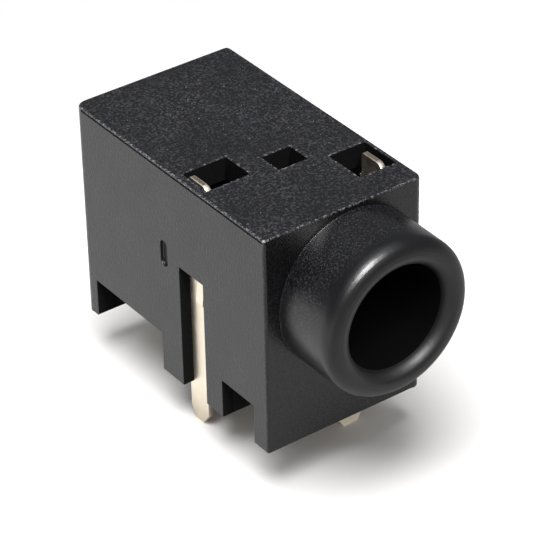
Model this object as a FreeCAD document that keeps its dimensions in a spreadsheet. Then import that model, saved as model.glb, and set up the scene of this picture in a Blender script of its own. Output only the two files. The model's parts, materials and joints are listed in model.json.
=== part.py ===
import FreeCAD, Part
import Sketcher
import os
import re

# Audio jack socket for a 3.5 mm three-pole plug, soldered through a board.
# X runs across the socket, Y from its front face to its back, and Z up.
# The origin is on the board's surface, below the middle of the front face.
# The barrel points to -Y.

# Driving dimensions in millimetres: name, value, meaning
SIZES = [
    ("body_width", 6.0, "overall width of the moulded body"),
    ("body_length", 10.2, "front face to back face"),
    ("body_height", 7.8, "board to roof"),
    ("side_wall", 0.4, "thickness of each side wall"),
    ("front_wall", 0.95, "thickness of the front wall"),
    ("rear_wall", 0.95, "thickness of the back wall"),
    ("roof_wall", 0.8, "thickness of the roof"),
    ("foot_height", 1.4, "height of the feet below the body"),
    ("end_foot_depth", 0.75, "depth of the front and the back foot"),
    ("middle_foot_lead", 0.9, "middle foot ahead of the side slot"),
    ("middle_foot_trail", 1.15, "middle foot behind the side slot"),
    ("axis_height", 4.95, "plug axis above the board"),
    ("axis_offset", 0.2, "plug axis to the right of the middle"),
    ("barrel_radius", 2.78, "outer radius of the barrel"),
    ("barrel_length", 2.5, "barrel ahead of the front face"),
    ("rim_round", 0.45, "rounding of the barrel's outer rim"),
    ("bore_radius", 1.8, "radius of the plug bore"),
    ("lip_round", 0.28, "rounding of the bore's mouth"),
    ("relief_radius", 1.95, "hole in the back wall for the plug's end"),
    ("corner_round", 0.15, "rounding of the body's upright back corners"),
    ("front_corner_round", 0.07, "rounding of the body's upright front corners"),
    ("foot_round", 0.12, "rounding of the outer feet's corners"),
    ("slot_ahead", 0.2, "side slot ahead of the tip plate"),
    ("slot_length", 1.25, "length of the side slot"),
    ("slot_top", 4.5, "top of the side slot above the board"),
    ("dimple_centre_y", 5.37, "oval dimple behind the front face"),
    ("dimple_centre_z", 4.6, "oval dimple above the board"),
    ("dimple_width", 0.36, "oval dimple along the body"),
    ("dimple_tall", 0.98, "oval dimple upwards"),
    ("dimple_round", 0.175, "rounding of the oval dimple's ends"),
    ("dimple_depth", 0.06, "depth of the oval dimple"),
    ("window_width", 1.5, "width of a tab's window"),
    ("window_undercut", 0.06, "tab's window past the inner wall"),
    ("window_ahead", 0.1, "tab's window ahead of the tab"),
    ("window_behind", 0.06, "tab's window behind the tab"),
    ("right_window_extra", 0.18, "right window into the side wall and behind its tab"),
    ("centre_window_width", 1.08, "width of the middle window"),
    ("centre_window_length", 0.8, "length of the middle window"),
    ("centre_window_x", 0.28, "middle window's centre to the right"),
    ("centre_window_y", 3.48, "middle window's centre behind the front face"),
    ("cover_thickness", 0.5, "thickness of the bottom cover"),
    ("cover_clearance", 0.03, "gap round the bottom cover"),
    ("leg_clearance", 0.07, "gap round each leg in the cover"),
    ("strip", 0.2, "thickness of the contact strip"),
    ("seat_gap", 0.02, "gap between a strip and what it lies on"),
    ("root_gap", 0.03, "gap between an arm and its terminal"),
    ("leg_reach", 1.4, "leg below the board's upper surface"),
    ("leg_width", 0.95, "width of the side legs"),
    ("leg_taper_length", 0.4, "length of a leg's pointed end"),
    ("leg_taper_back", 0.22, "narrowing of a leg's end at its back edge"),
    ("leg_taper_front", 0.3, "narrowing of a leg's end at its front edge"),
    ("barb_size", 0.12, "locking barb on the tip leg"),
    ("barb_bottom", 0.1, "locking barb above the board"),
    ("tab_drop", 0.04, "top of a tab below the roof's surface"),
    ("tip_plate_start", 3.5, "tip plate behind the front face"),
    ("tip_plate_length", 1.25, "length of the tip plate"),
    ("tab_length", 1.15, "length of each tab"),
    ("lance_proud", 0.12, "locking lance proud of the tip plate"),
    ("lance_length", 0.85, "length of the locking lance"),
    ("lance_width", 0.5, "width of the locking lance"),
    ("lance_ahead", 0.15, "locking lance ahead of the side slot's end"),
    ("lance_top", 4.4, "root of the locking lance above the board"),
    ("ring_plate_start", 1.07, "ring plate behind the front face"),
    ("ring_plate_length", 1.3, "length of the ring plate's upper part"),
    ("ring_leg_start", 2.4, "ring leg behind the front face"),
    ("ring_step_height", 3.6, "top of the ring plate's lower part"),
    ("plug_radius", 1.75, "radius of the plug that goes in"),
    ("contact_travel", 0.5, "how far a side arm is pushed out by the plug"),
    ("arm_height", 1.6, "height of the side arms"),
    ("tip_back_room", 0.9, "tip arm's bend ahead of the back wall"),
    ("ring_contact_y", 6.5, "ring arm's bend behind the front face"),
    ("arm_end_run", 0.55, "arm's end past its bend, along the body"),
    ("arm_end_flare", 0.3, "arm's end turned away from the plug"),
    ("bend_round", 0.25, "inner radius of an arm's bend"),
    ("tail_length", 0.95, "arm's tail ahead of the bend"),
    ("tail_bottom", 2.5, "bottom of an arm's tail above the board"),
    ("break_gap", 0.03, "gap between a tail and its break contact"),
    ("bend_loss", 0.03, "taken off a bend's corner by its rounding"),
    ("break_width", 0.9, "width of the break contacts"),
    ("break_top", 3.2, "top of the break contacts above the board"),
    ("shelf_length", 0.6, "tip break leg from its contact pad"),
    ("sleeve_leg_y", 1.2, "sleeve leg behind the front face"),
    ("sleeve_leg_x", 0.55, "sleeve leg's left edge to the right of the middle"),
    ("sleeve_leg_width", 1.05, "width of the sleeve leg"),
    ("sleeve_base_length", 0.7, "length of the sleeve terminal's base"),
    ("finger_width", 1.2, "width of the sleeve finger"),
    ("finger_contact_y", 4.0, "sleeve finger's bend behind the front face"),
    ("finger_travel", 0.25, "how far the sleeve finger is pushed down"),
    ("finger_end_run", 0.6, "finger's end past its bend, along the body"),
    ("finger_end_drop", 0.35, "finger's end turned away from the plug"),
]

# Places worked out from the sizes, as formulas of their names
INNER_X = "(body_width / 2 - side_wall)"
RECESS_TOP = "(foot_height + cover_thickness)"
BASE_Z = "(foot_height + cover_thickness + seat_gap)"
CAVITY_END = "(body_length - rear_wall)"
PLATE_OUT = "(body_width / 2 - side_wall - seat_gap)"
PLATE_IN = "(body_width / 2 - side_wall - seat_gap - strip)"
TAB_TOP = "(body_height - tab_drop)"
SLOT_START = "(tip_plate_start - slot_ahead)"
SLOT_END = "(tip_plate_start - slot_ahead + slot_length)"
TIP_PLATE_END = "(tip_plate_start + tip_plate_length)"
TIP_LEG_START = "(tip_plate_start + tip_plate_length - leg_width)"
RING_PLATE_END = "(ring_plate_start + ring_plate_length)"
RING_LEG_END = "(ring_leg_start + leg_width)"
ARM_BOTTOM = "(axis_height - arm_height / 2)"
TIP_BEND_Y = "(body_length - rear_wall - tip_back_room)"
TIP_CROWN_X = "(axis_offset - plug_radius + contact_travel)"
RING_CROWN_X = "(axis_offset + plug_radius - contact_travel)"
TIP_PAD_X = "(axis_offset - plug_radius + contact_travel + break_gap - bend_loss)"
RING_PAD_X = "(axis_offset + plug_radius - contact_travel - break_gap + bend_loss)"
TIP_BREAK_START = "(body_length - rear_wall - tip_back_room - break_width / 2)"
RING_BREAK_START = "(ring_contact_y - break_width / 2)"
SLEEVE_BASE_END = "(sleeve_leg_y + sleeve_base_length)"
FINGER_TOP_Z = "(axis_height - plug_radius + finger_travel)"

doc = FreeCAD.newDocument("audio_jack_socket")
sheet = doc.addObject("Spreadsheet::Sheet", "Sizes")


def fill_sheet():
    """Put each driving dimension in a row of the sheet, with its name as the alias."""
    for row, (name, value, meaning) in enumerate(SIZES, start=1):
        sheet.set("A%d" % row, meaning)
        sheet.set("B%d" % row, str(value))
        sheet.setAlias("B%d" % row, name)
    doc.recompute()


def size(name):
    """The present value of one driving dimension."""
    return float(sheet.get(name))


def formula(text):
    """A formula of the sizes' names, with each name written as the sheet's cell."""
    return re.sub(r"[a-z][a-z_]{2,}", lambda found: "Sizes." + found.group(0), text)


def bind(thing, prop, text):
    """Tie a property to a formula of the sizes."""
    thing.setExpression(prop, formula(text))


def new_body(name):
    """A piece of the socket: an empty body with its own label."""
    body = doc.addObject("PartDesign::Body", name)
    body.Label = name
    body.Placement = FreeCAD.Placement()
    return body


def new_sketch(body, role, name, offset="0"):
    """A sketch on one of the body's own planes, moved along that plane's normal."""
    plane = [item for item in body.Origin.OriginFeatures if item.Role == role][0]
    sketch = body.newObject("Sketcher::SketchObject", name)
    sketch.AttachmentSupport = [(plane, "")]
    sketch.MapMode = "FlatFace"
    if offset != "0":
        bind(sketch, "AttachmentOffset.Base.z", offset)
    return sketch


def pin_point(sketch, geometry, point, across, up):
    """Hold one point of a sketch at two formulas, measured from the sketch's origin."""
    for kind, text in (("DistanceX", across), ("DistanceY", up)):
        index = sketch.addConstraint(Sketcher.Constraint(kind, -1, 1, geometry, point, 1.0))
        sketch.setExpression("Constraints[%d]" % index, formula(text))


def draw_outline(sketch, corners):
    """A closed outline of straight edges through corners given as pairs of formulas."""
    count = len(corners)
    first = sketch.GeometryCount
    start = FreeCAD.Vector(1, 0, 0)
    turn = FreeCAD.Rotation(FreeCAD.Vector(0, 0, 1), 360.0 / count)
    for _ in corners:
        end = turn.multVec(start)
        sketch.addGeometry(Part.LineSegment(start, end), False)
        start = end
    for step in range(count):
        following = first + (step + 1) % count
        sketch.addConstraint(Sketcher.Constraint("Coincident", first + step, 2, following, 1))
    for step, (across, up) in enumerate(corners):
        pin_point(sketch, first + step, 1, across, up)


def draw_box(sketch, left, right, low, high):
    """A rectangle between two formulas across and two up."""
    draw_outline(sketch, [(left, low), (right, low), (right, high), (left, high)])


def draw_circle(sketch, radius, across, up):
    """A circle with its radius and centre tied to formulas."""
    circle = sketch.addGeometry(Part.Circle(), False)
    index = sketch.addConstraint(Sketcher.Constraint("Radius", circle, 1.0))
    sketch.setExpression("Constraints[%d]" % index, formula(radius))
    pin_point(sketch, circle, 3, across, up)


def extrude(body, kind, sketch, length, backwards=False):
    """A Pad or a Pocket of a sketch, checked to have added or removed something."""
    before = body.Shape.Volume if body.Tip else 0.0
    feature = body.newObject("PartDesign::" + kind, sketch.Name + "_" + kind.lower())
    feature.Profile = sketch
    feature.Reversed = backwards
    bind(feature, "Length", length)
    sketch.Visibility = False
    doc.recompute()
    change = body.Shape.Volume - before
    if change * (1 if kind == "Pad" else -1) <= 0.0:
        raise ValueError("%s changed nothing" % feature.Name)
    return feature


def upright_edges(shape, places):
    """Names of the edges along Z that stand at any of the given x, y places."""
    found = []
    for number, edge in enumerate(shape.Edges, start=1):
        ends = [vertex.Point for vertex in edge.Vertexes]
        if len(ends) < 2 or abs(ends[0].x - ends[1].x) > 1e-5 or abs(ends[0].y - ends[1].y) > 1e-5:
            continue
        if any(abs(ends[0].x - x) < 1e-4 and abs(ends[0].y - y) < 1e-4 for x, y in places):
            found.append("Edge%d" % number)
    return found


def cross_edges(shape, places):
    """Names of the edges along X that lie at any of the given y, z places."""
    found = []
    for number, edge in enumerate(shape.Edges, start=1):
        ends = [vertex.Point for vertex in edge.Vertexes]
        if len(ends) < 2 or abs(ends[0].y - ends[1].y) > 1e-5 or abs(ends[0].z - ends[1].z) > 1e-5:
            continue
        if any(abs(ends[0].y - y) < 1e-4 and abs(ends[0].z - z) < 1e-4 for y, z in places):
            found.append("Edge%d" % number)
    return found


def circle_edges(shape, radius, y):
    """Names of the full circles of one radius in the plane at one y."""
    found = []
    for number, edge in enumerate(shape.Edges, start=1):
        curve = edge.Curve
        if not isinstance(curve, Part.Circle) or abs(curve.Radius - radius) > 1e-4:
            continue
        if abs(curve.Center.y - y) < 1e-4:
            found.append("Edge%d" % number)
    return found


def round_edges(body, name, edges, radius):
    """A fillet of the body's present tip along named edges."""
    if not edges:
        raise ValueError("%s found no edge" % name)
    base = body.Tip
    fillet = body.newObject("PartDesign::Fillet", name)
    fillet.Base = (base, edges)
    bind(fillet, "Radius", radius)
    doc.recompute()
    return fillet


def make_housing():
    """The moulding: body on its feet, barrel, bore, cavity, windows, side slot and dimple."""
    body = new_body("housing")
    make_block(body)
    round_block(body)
    make_barrel(body)
    round_barrel(body)
    make_openings(body)
    round_dimple(body)
    return body


def make_block(body):
    """The body and its feet as one side outline, then the cavity and the cover's recess."""
    foot_start = SLOT_START + " - middle_foot_lead"
    foot_end = SLOT_END + " + middle_foot_trail"
    back_foot = "body_length - end_foot_depth"
    side = new_sketch(body, "YZ_Plane", "side_outline", "-body_width / 2")
    draw_outline(side, [
        ("0", "0"),
        ("end_foot_depth", "0"),
        ("end_foot_depth", "foot_height"),
        (foot_start, "foot_height"),
        (foot_start, "0"),
        (foot_end, "0"),
        (foot_end, "foot_height"),
        (back_foot, "foot_height"),
        (back_foot, "0"),
        ("body_length", "0"),
        ("body_length", "body_height"),
        ("0", "body_height"),
    ])
    extrude(body, "Pad", side, "body_width")
    cavity = new_sketch(body, "XY_Plane", "cavity_outline")
    draw_box(cavity, "-" + INNER_X, INNER_X, "front_wall", CAVITY_END)
    extrude(body, "Pocket", cavity, "body_height - roof_wall", backwards=True)
    recess = new_sketch(body, "XY_Plane", "recess_outline")
    draw_box(recess, "-" + INNER_X, INNER_X, "end_foot_depth", back_foot)
    extrude(body, "Pocket", recess, RECESS_TOP, backwards=True)


def make_barrel(body):
    """The barrel, the bore through it and the front wall, and the hole in the back wall."""
    barrel = new_sketch(body, "XZ_Plane", "barrel_outline")
    draw_circle(barrel, "barrel_radius", "axis_offset", "axis_height")
    extrude(body, "Pad", barrel, "barrel_length")
    bore = new_sketch(body, "XZ_Plane", "bore_outline", "barrel_length")
    draw_circle(bore, "bore_radius", "axis_offset", "axis_height")
    extrude(body, "Pocket", bore, "barrel_length + front_wall")
    relief = new_sketch(body, "XZ_Plane", "relief_outline", "-body_length")
    draw_circle(relief, "relief_radius", "axis_offset", "axis_height")
    extrude(body, "Pocket", relief, "rear_wall", backwards=True)


def make_openings(body):
    """The three roof windows, the slot beside the tip leg and the plain oval dimple."""
    windows = new_sketch(body, "XY_Plane", "window_outlines", "body_height")
    wide_x = INNER_X + " + window_undercut"
    draw_box(windows, "-(" + wide_x + ")", "-(" + wide_x + " - window_width)",
             "tip_plate_start - window_ahead", "tip_plate_start + tab_length + window_behind")
    draw_box(windows, wide_x + " - window_width + right_window_extra", wide_x + " + right_window_extra",
             "ring_plate_start - window_ahead",
             "ring_plate_start + tab_length + window_behind + right_window_extra")
    draw_box(windows, "centre_window_x - centre_window_width / 2",
             "centre_window_x + centre_window_width / 2",
             "centre_window_y - centre_window_length / 2",
             "centre_window_y + centre_window_length / 2")
    extrude(body, "Pocket", windows, "roof_wall")
    slot = new_sketch(body, "YZ_Plane", "slot_outline", "-body_width / 2")
    draw_box(slot, SLOT_START, SLOT_END, "0", "slot_top")
    extrude(body, "Pocket", slot, "side_wall", backwards=True)
    dimple = new_sketch(body, "YZ_Plane", "dimple_outline", "-body_width / 2")
    draw_box(dimple, "dimple_centre_y - dimple_width / 2", "dimple_centre_y + dimple_width / 2",
             "dimple_centre_z - dimple_tall / 2", "dimple_centre_z + dimple_tall / 2")
    extrude(body, "Pocket", dimple, "dimple_depth", backwards=True)


def round_block(body):
    """The roundings of the body's upright corners and of the outer feet."""
    half = size("body_width") / 2
    length = size("body_length")
    foot = size("end_foot_depth")
    back = upright_edges(body.Shape, [(-half, length), (half, length)])
    round_edges(body, "back_corner_rounding", back, "corner_round")
    front = upright_edges(body.Shape, [(-half, 0.0), (half, 0.0)])
    round_edges(body, "front_corner_rounding", front, "front_corner_round")
    inner = cross_edges(body.Shape, [(foot, 0.0), (length - foot, 0.0)])
    round_edges(body, "foot_rounding", inner, "foot_round")


def round_barrel(body):
    """The roundings of the barrel's rim and of the bore's mouth."""
    mouth_y = -size("barrel_length")
    rim = circle_edges(body.Shape, size("barrel_radius"), mouth_y)
    round_edges(body, "rim_rounding", rim, "rim_round")
    lip = circle_edges(body.Shape, size("bore_radius"), mouth_y)
    round_edges(body, "lip_rounding", lip, "lip_round")


def round_dimple(body):
    """The dimple's four short edges, rounded until it is an oval."""
    middle_y = size("dimple_centre_y")
    side_y = size("dimple_width") / 2
    found = []
    for number, edge in enumerate(body.Shape.Edges, start=1):
        box = edge.BoundBox
        along_x = box.XLength > 1e-4 and box.YLength < 1e-4 and box.ZLength < 1e-4
        if along_x and abs(abs(box.YMin - middle_y) - side_y) < 1e-4 and box.XMax < 0:
            found.append("Edge%d" % number)
    round_edges(body, "dimple_rounding", found, "dimple_round")


def make_cover():
    """The bottom cover: a plate between the outer feet, with the middle foot below it."""
    body = new_body("bottom_cover")
    side_x = INNER_X + " - cover_clearance"
    plate = new_sketch(body, "XY_Plane", "plate_outline", "foot_height")
    draw_box(plate, "-(" + side_x + ")", side_x, "end_foot_depth + cover_clearance",
             "body_length - end_foot_depth - cover_clearance")
    extrude(body, "Pad", plate, "cover_thickness")
    foot = new_sketch(body, "XY_Plane", "foot_outline")
    draw_box(foot, "-(" + side_x + ")", side_x, SLOT_START + " - middle_foot_lead",
             SLOT_END + " + middle_foot_trail")
    extrude(body, "Pad", foot, "foot_height + cover_thickness / 2")
    passages = new_sketch(body, "XY_Plane", "leg_passages")
    for left, right, low, high in leg_places():
        draw_box(passages, left, right, low, high)
    extrude(body, "Pocket", passages, RECESS_TOP, backwards=True)
    return body


def leg_places():
    """The five passages for the legs, as formulas: left, right, front and back."""
    gap = " - leg_clearance"
    more = " + leg_clearance"
    past_wall = INNER_X + " + cover_clearance"
    inside = PLATE_IN + gap
    return [
        ("-(" + past_wall + ")", "-(" + inside + ")", TIP_LEG_START + gap,
         TIP_PLATE_END + " + barb_size" + more),
        (inside, past_wall, "ring_leg_start" + gap, RING_LEG_END + more),
        (inside, past_wall, RING_BREAK_START + gap, RING_BREAK_START + " + break_width" + more),
        (TIP_PAD_X + " + shelf_length" + gap, TIP_PAD_X + " + shelf_length + strip" + more,
         TIP_BREAK_START + gap, TIP_BREAK_START + " + break_width" + more),
        ("sleeve_leg_x" + gap, "sleeve_leg_x + sleeve_leg_width" + more,
         "sleeve_leg_y" + gap, "sleeve_leg_y + strip" + more),
    ]


def leg_corners(start, end):
    """The pointed end of a leg between two formulas, as the corners of its outline."""
    return [
        (end, "-(leg_reach - leg_taper_length)"),
        (end + " - leg_taper_back", "-leg_reach"),
        (start + " + leg_taper_front", "-leg_reach"),
        (start, "-(leg_reach - leg_taper_length)"),
    ]


def make_tip_terminal():
    """The left strip: tab in the roof window, plate, locking lance, barb and leg."""
    body = new_body("tip_terminal")
    plate = new_sketch(body, "YZ_Plane", "plate_outline", "-" + PLATE_OUT)
    tab_end = "tip_plate_start + tab_length"
    barb_top = "barb_bottom + barb_size * 2"
    corners = [
        ("tip_plate_start", TAB_TOP),
        ("tip_plate_start", BASE_Z),
        (TIP_LEG_START, BASE_Z),
    ]
    corners += reversed(leg_corners(TIP_LEG_START, TIP_PLATE_END))
    corners += [
        (TIP_PLATE_END, "barb_bottom"),
        (TIP_PLATE_END + " + barb_size", "barb_bottom + barb_size / 2"),
        (TIP_PLATE_END, barb_top),
        (TIP_PLATE_END, "body_height - roof_wall - seat_gap"),
        (tab_end, "body_height - roof_wall - seat_gap"),
        (tab_end, TAB_TOP),
    ]
    draw_outline(plate, corners)
    extrude(body, "Pad", plate, "strip")
    lance = new_sketch(body, "XZ_Plane", "lance_outline", "-(" + SLOT_END + " - lance_ahead)")
    draw_outline(lance, [
        ("-" + PLATE_IN, "lance_top"),
        ("-" + PLATE_OUT, "lance_top"),
        ("-(" + PLATE_OUT + " + lance_proud)", "lance_top - lance_length"),
        ("-" + PLATE_IN, "lance_top - lance_length"),
    ])
    extrude(body, "Pad", lance, "lance_width")
    return body


def make_ring_terminal():
    """The right strip: tab in the roof window, plate with a lower step, and leg."""
    body = new_body("ring_terminal")
    plate = new_sketch(body, "YZ_Plane", "plate_outline", PLATE_IN)
    tab_end = "ring_plate_start + tab_length"
    shoulder = "body_height - roof_wall - seat_gap"
    corners = [
        ("ring_plate_start", TAB_TOP),
        ("ring_plate_start", BASE_Z),
        ("ring_leg_start", BASE_Z),
    ]
    corners += reversed(leg_corners("ring_leg_start", RING_LEG_END))
    corners += [
        (RING_LEG_END, "ring_step_height"),
        (RING_PLATE_END, "ring_step_height"),
        (RING_PLATE_END, shoulder),
        (tab_end, shoulder),
        (tab_end, TAB_TOP),
    ]
    draw_outline(plate, corners)
    extrude(body, "Pad", plate, "strip")
    return body


def make_side_spring(name, side, root_y, bend_y, crown_x):
    """A side arm seen from above: from its root in to the bend, then out to a flared end.

    side is "-" for the left arm and "" for the right one, and out points away from the plug.
    """
    body = new_body(name)
    away = "-" if side == "-" else "+"
    back = "+" if side == "-" else "-"
    start = root_y + " + root_gap"
    end = bend_y + " + arm_end_run"
    plan = new_sketch(body, "XY_Plane", "arm_outline", "tail_bottom")
    draw_outline(plan, [
        (side + PLATE_OUT, start),
        ("%s %s strip" % (crown_x, away), bend_y),
        ("%s %s (strip + arm_end_flare)" % (crown_x, away), end),
        ("%s %s arm_end_flare" % (crown_x, away), end),
        (crown_x, bend_y),
        ("%s%s %s strip" % (side, PLATE_OUT, back), start),
    ])
    extrude(body, "Pad", plan, ARM_BOTTOM + " + arm_height - tail_bottom")
    relief = new_sketch(body, "YZ_Plane", "tail_outline", "-body_width / 2")
    draw_box(relief, root_y, bend_y + " - tail_length", "tail_bottom - strip", ARM_BOTTOM)
    extrude(body, "Pocket", relief, "body_width", backwards=True)
    return body


def round_arm(body, bend_y, crown_x, out):
    """The rolled bend at the arm's contact, inside and outside of the strip."""
    inner = upright_edges(body.Shape, [(crown_x, bend_y)])
    round_edges(body, "bend_outer_rounding", inner, "bend_round + strip")
    outer = upright_edges(body.Shape, [(crown_x + out * size("strip"), bend_y)])
    round_edges(body, "bend_inner_rounding", outer, "bend_round")


def make_tip_spring():
    """The tip arm, which runs back from the tip plate on the left."""
    body = make_side_spring("tip_spring", "-", TIP_PLATE_END, TIP_BEND_Y, TIP_CROWN_X)
    crown_x = size("axis_offset") - size("plug_radius") + size("contact_travel")
    bend_y = size("body_length") - size("rear_wall") - size("tip_back_room")
    round_arm(body, bend_y, crown_x, -1)
    return body


def make_ring_spring():
    """The ring arm, which runs back from the ring plate on the right."""
    body = make_side_spring("ring_spring", "", RING_PLATE_END, "ring_contact_y", RING_CROWN_X)
    crown_x = size("axis_offset") + size("plug_radius") - size("contact_travel")
    round_arm(body, size("ring_contact_y"), crown_x, 1)
    return body


def taper_leg(body, low, high):
    """The pointed end of a leg whose strip faces along X, cut at both edges."""
    cuts = new_sketch(body, "YZ_Plane", "leg_taper", "-body_width / 2")
    neck = "-(leg_reach - leg_taper_length)"
    below = "-(leg_reach + strip)"
    more = " * (leg_taper_length + strip) / leg_taper_length"
    draw_outline(cuts, [(low, neck), (low + " + leg_taper_front" + more, below), (low, below)])
    draw_outline(cuts, [(high, neck), (high, below), (high + " - leg_taper_back" + more, below)])
    extrude(body, "Pocket", cuts, "body_width", backwards=True)


def make_tip_break():
    """The tip arm's break contact: leg at the back, shelf on the cover, upright pad."""
    body = new_body("tip_break_terminal")
    side = new_sketch(body, "XZ_Plane", "bracket_outline", "-(" + TIP_BREAK_START + " + break_width)")
    leg_left = TIP_PAD_X + " + shelf_length"
    leg_right = leg_left + " + strip"
    draw_outline(side, [
        (leg_left, "-leg_reach"),
        (leg_right, "-leg_reach"),
        (leg_right, BASE_Z + " + strip"),
        (TIP_PAD_X + " + strip", BASE_Z + " + strip"),
        (TIP_PAD_X + " + strip", "break_top"),
        (TIP_PAD_X, "break_top"),
        (TIP_PAD_X, BASE_Z),
        (leg_left, BASE_Z),
    ])
    extrude(body, "Pad", side, "break_width")
    taper_leg(body, TIP_BREAK_START, TIP_BREAK_START + " + break_width")
    return body


def make_ring_break():
    """The ring arm's break contact: leg at the right wall, shelf on the cover, upright pad."""
    body = new_body("ring_break_terminal")
    side = new_sketch(body, "XZ_Plane", "bracket_outline", "-(" + RING_BREAK_START + " + break_width)")
    draw_outline(side, [
        (PLATE_IN, "-leg_reach"),
        (PLATE_OUT, "-leg_reach"),
        (PLATE_OUT, BASE_Z + " + strip"),
        (RING_PAD_X, BASE_Z + " + strip"),
        (RING_PAD_X, "break_top"),
        (RING_PAD_X + " - strip", "break_top"),
        (RING_PAD_X + " - strip", BASE_Z),
        (PLATE_IN, BASE_Z),
    ])
    extrude(body, "Pad", side, "break_width")
    taper_leg(body, RING_BREAK_START, RING_BREAK_START + " + break_width")
    return body


def make_sleeve_terminal():
    """The sleeve strip: leg behind the front foot, and its base on the cover."""
    body = new_body("sleeve_terminal")
    leg = new_sketch(body, "XZ_Plane", "leg_outline", "-(sleeve_leg_y + strip)")
    leg_end = "sleeve_leg_x + sleeve_leg_width"
    corners = [("sleeve_leg_x", BASE_Z + " + strip")]
    corners += reversed(leg_corners("sleeve_leg_x", leg_end))
    corners += [(leg_end, BASE_Z + " + strip")]
    draw_outline(leg, corners)
    extrude(body, "Pad", leg, "strip")
    base = new_sketch(body, "XY_Plane", "base_outline", BASE_Z)
    draw_box(base, "axis_offset - finger_width / 2", leg_end, "sleeve_leg_y", SLEEVE_BASE_END)
    extrude(body, "Pad", base, "strip")
    return body


def make_sleeve_spring():
    """The sleeve finger seen from the side: up from the base to its bend, then down."""
    body = new_body("sleeve_spring")
    side = new_sketch(body, "YZ_Plane", "finger_outline", "axis_offset - finger_width / 2")
    start = SLEEVE_BASE_END + " + root_gap"
    end = "finger_contact_y + finger_end_run"
    draw_outline(side, [
        (start, BASE_Z),
        ("finger_contact_y", FINGER_TOP_Z + " - strip"),
        (end, FINGER_TOP_Z + " - strip - finger_end_drop"),
        (end, FINGER_TOP_Z + " - finger_end_drop"),
        ("finger_contact_y", FINGER_TOP_Z),
        (start, BASE_Z + " + strip"),
    ])
    extrude(body, "Pad", side, "finger_width")
    bend_y = size("finger_contact_y")
    top_z = size("axis_height") - size("plug_radius") + size("finger_travel")
    top = cross_edges(body.Shape, [(bend_y, top_z)])
    round_edges(body, "bend_outer_rounding", top, "bend_round + strip")
    low = cross_edges(body.Shape, [(bend_y, top_z - size("strip"))])
    round_edges(body, "bend_inner_rounding", low, "bend_round")
    return body


def check_and_export(bodies):
    """Stop on a failed object or a bad solid, then write one file for each piece."""
    doc.recompute()
    for item in doc.Objects:
        if "Invalid" in item.State or "Error" in item.State:
            raise ValueError("%s failed: %s" % (item.Name, item.State))
    for body in bodies:
        shape = body.Shape
        if shape.isNull() or not shape.isValid() or len(shape.Solids) != 1:
            raise ValueError("%s isn't one valid solid" % body.Label)
    os.makedirs("parts", exist_ok=True)
    for body in bodies:
        body.Shape.exportStep("parts/%s.step" % body.Label)
        print(body.Label, round(body.Shape.Volume, 3), "mm3")


fill_sheet()
check_and_export([
    make_housing(),
    make_cover(),
    make_tip_terminal(),
    make_ring_terminal(),
    make_sleeve_terminal(),
    make_tip_spring(),
    make_ring_spring(),
    make_sleeve_spring(),
    make_tip_break(),
    make_ring_break(),
])
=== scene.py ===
import json
import math

import bmesh
import bpy
import numpy as np
from bpy.props import FloatProperty, FloatVectorProperty, PointerProperty
from mathutils import Matrix, Vector


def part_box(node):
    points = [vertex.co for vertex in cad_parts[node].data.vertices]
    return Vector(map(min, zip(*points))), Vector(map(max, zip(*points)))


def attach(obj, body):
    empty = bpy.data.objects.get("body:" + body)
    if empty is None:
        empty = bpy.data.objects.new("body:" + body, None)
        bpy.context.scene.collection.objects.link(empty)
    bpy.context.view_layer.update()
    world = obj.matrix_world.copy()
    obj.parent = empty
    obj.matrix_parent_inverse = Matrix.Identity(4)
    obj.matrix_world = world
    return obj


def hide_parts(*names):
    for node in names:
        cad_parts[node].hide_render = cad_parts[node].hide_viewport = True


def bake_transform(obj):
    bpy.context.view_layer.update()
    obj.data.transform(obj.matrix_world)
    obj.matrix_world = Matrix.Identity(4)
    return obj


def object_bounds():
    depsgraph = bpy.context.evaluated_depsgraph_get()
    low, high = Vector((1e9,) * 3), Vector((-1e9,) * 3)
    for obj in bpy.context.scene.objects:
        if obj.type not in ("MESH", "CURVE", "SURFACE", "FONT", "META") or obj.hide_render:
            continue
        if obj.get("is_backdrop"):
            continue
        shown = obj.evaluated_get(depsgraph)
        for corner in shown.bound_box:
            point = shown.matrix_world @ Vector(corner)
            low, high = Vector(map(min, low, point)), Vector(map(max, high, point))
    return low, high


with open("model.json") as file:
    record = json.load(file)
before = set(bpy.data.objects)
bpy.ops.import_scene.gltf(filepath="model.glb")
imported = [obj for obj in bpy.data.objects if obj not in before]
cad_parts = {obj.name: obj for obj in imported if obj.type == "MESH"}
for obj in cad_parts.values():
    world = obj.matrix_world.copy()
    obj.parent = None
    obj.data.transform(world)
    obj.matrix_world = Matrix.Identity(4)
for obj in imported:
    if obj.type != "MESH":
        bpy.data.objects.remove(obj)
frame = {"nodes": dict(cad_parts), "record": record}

bl_info = {
    "name": "Board audio jack socket",
    "version": (1, 0, 0),
    "blender": (4, 5, 0),
    "location": "View3D > Sidebar > Jack socket",
    "description": "Dresses the jack socket's frame with its moulding, cover and contact strips",
    "category": "Add Mesh",
}

# Lengths in this file are millimetres unless a name says otherwise. X runs across the socket,
# Y from its front face to its back, Z up from the board. The barrel points to -Y.
MM = 0.001
TINY = 1e-4
# Where boxes of air end, well outside the socket
FAR = 20.0

# Points along an arc, along a strip's cut edge and along a corner of the body
ARC_STEPS = 7
EDGE_STEPS = 4
CORNER_STEPS = 6
# Points across a bent strip, and the gap between its rings along it
ACROSS_STEPS = 15
STRIP_STEP = 0.08
# The widest bevel, of which each edge takes its own share, its steps, and the least fold of an edge
BEVEL_LIMIT = 0.15
BEVEL_STEPS = 5
EDGE_FOLD = math.radians(30)
# How deep a face of the moulding may reach in before it counts as an inner wall
SKIN_DEPTH = 0.15

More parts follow.
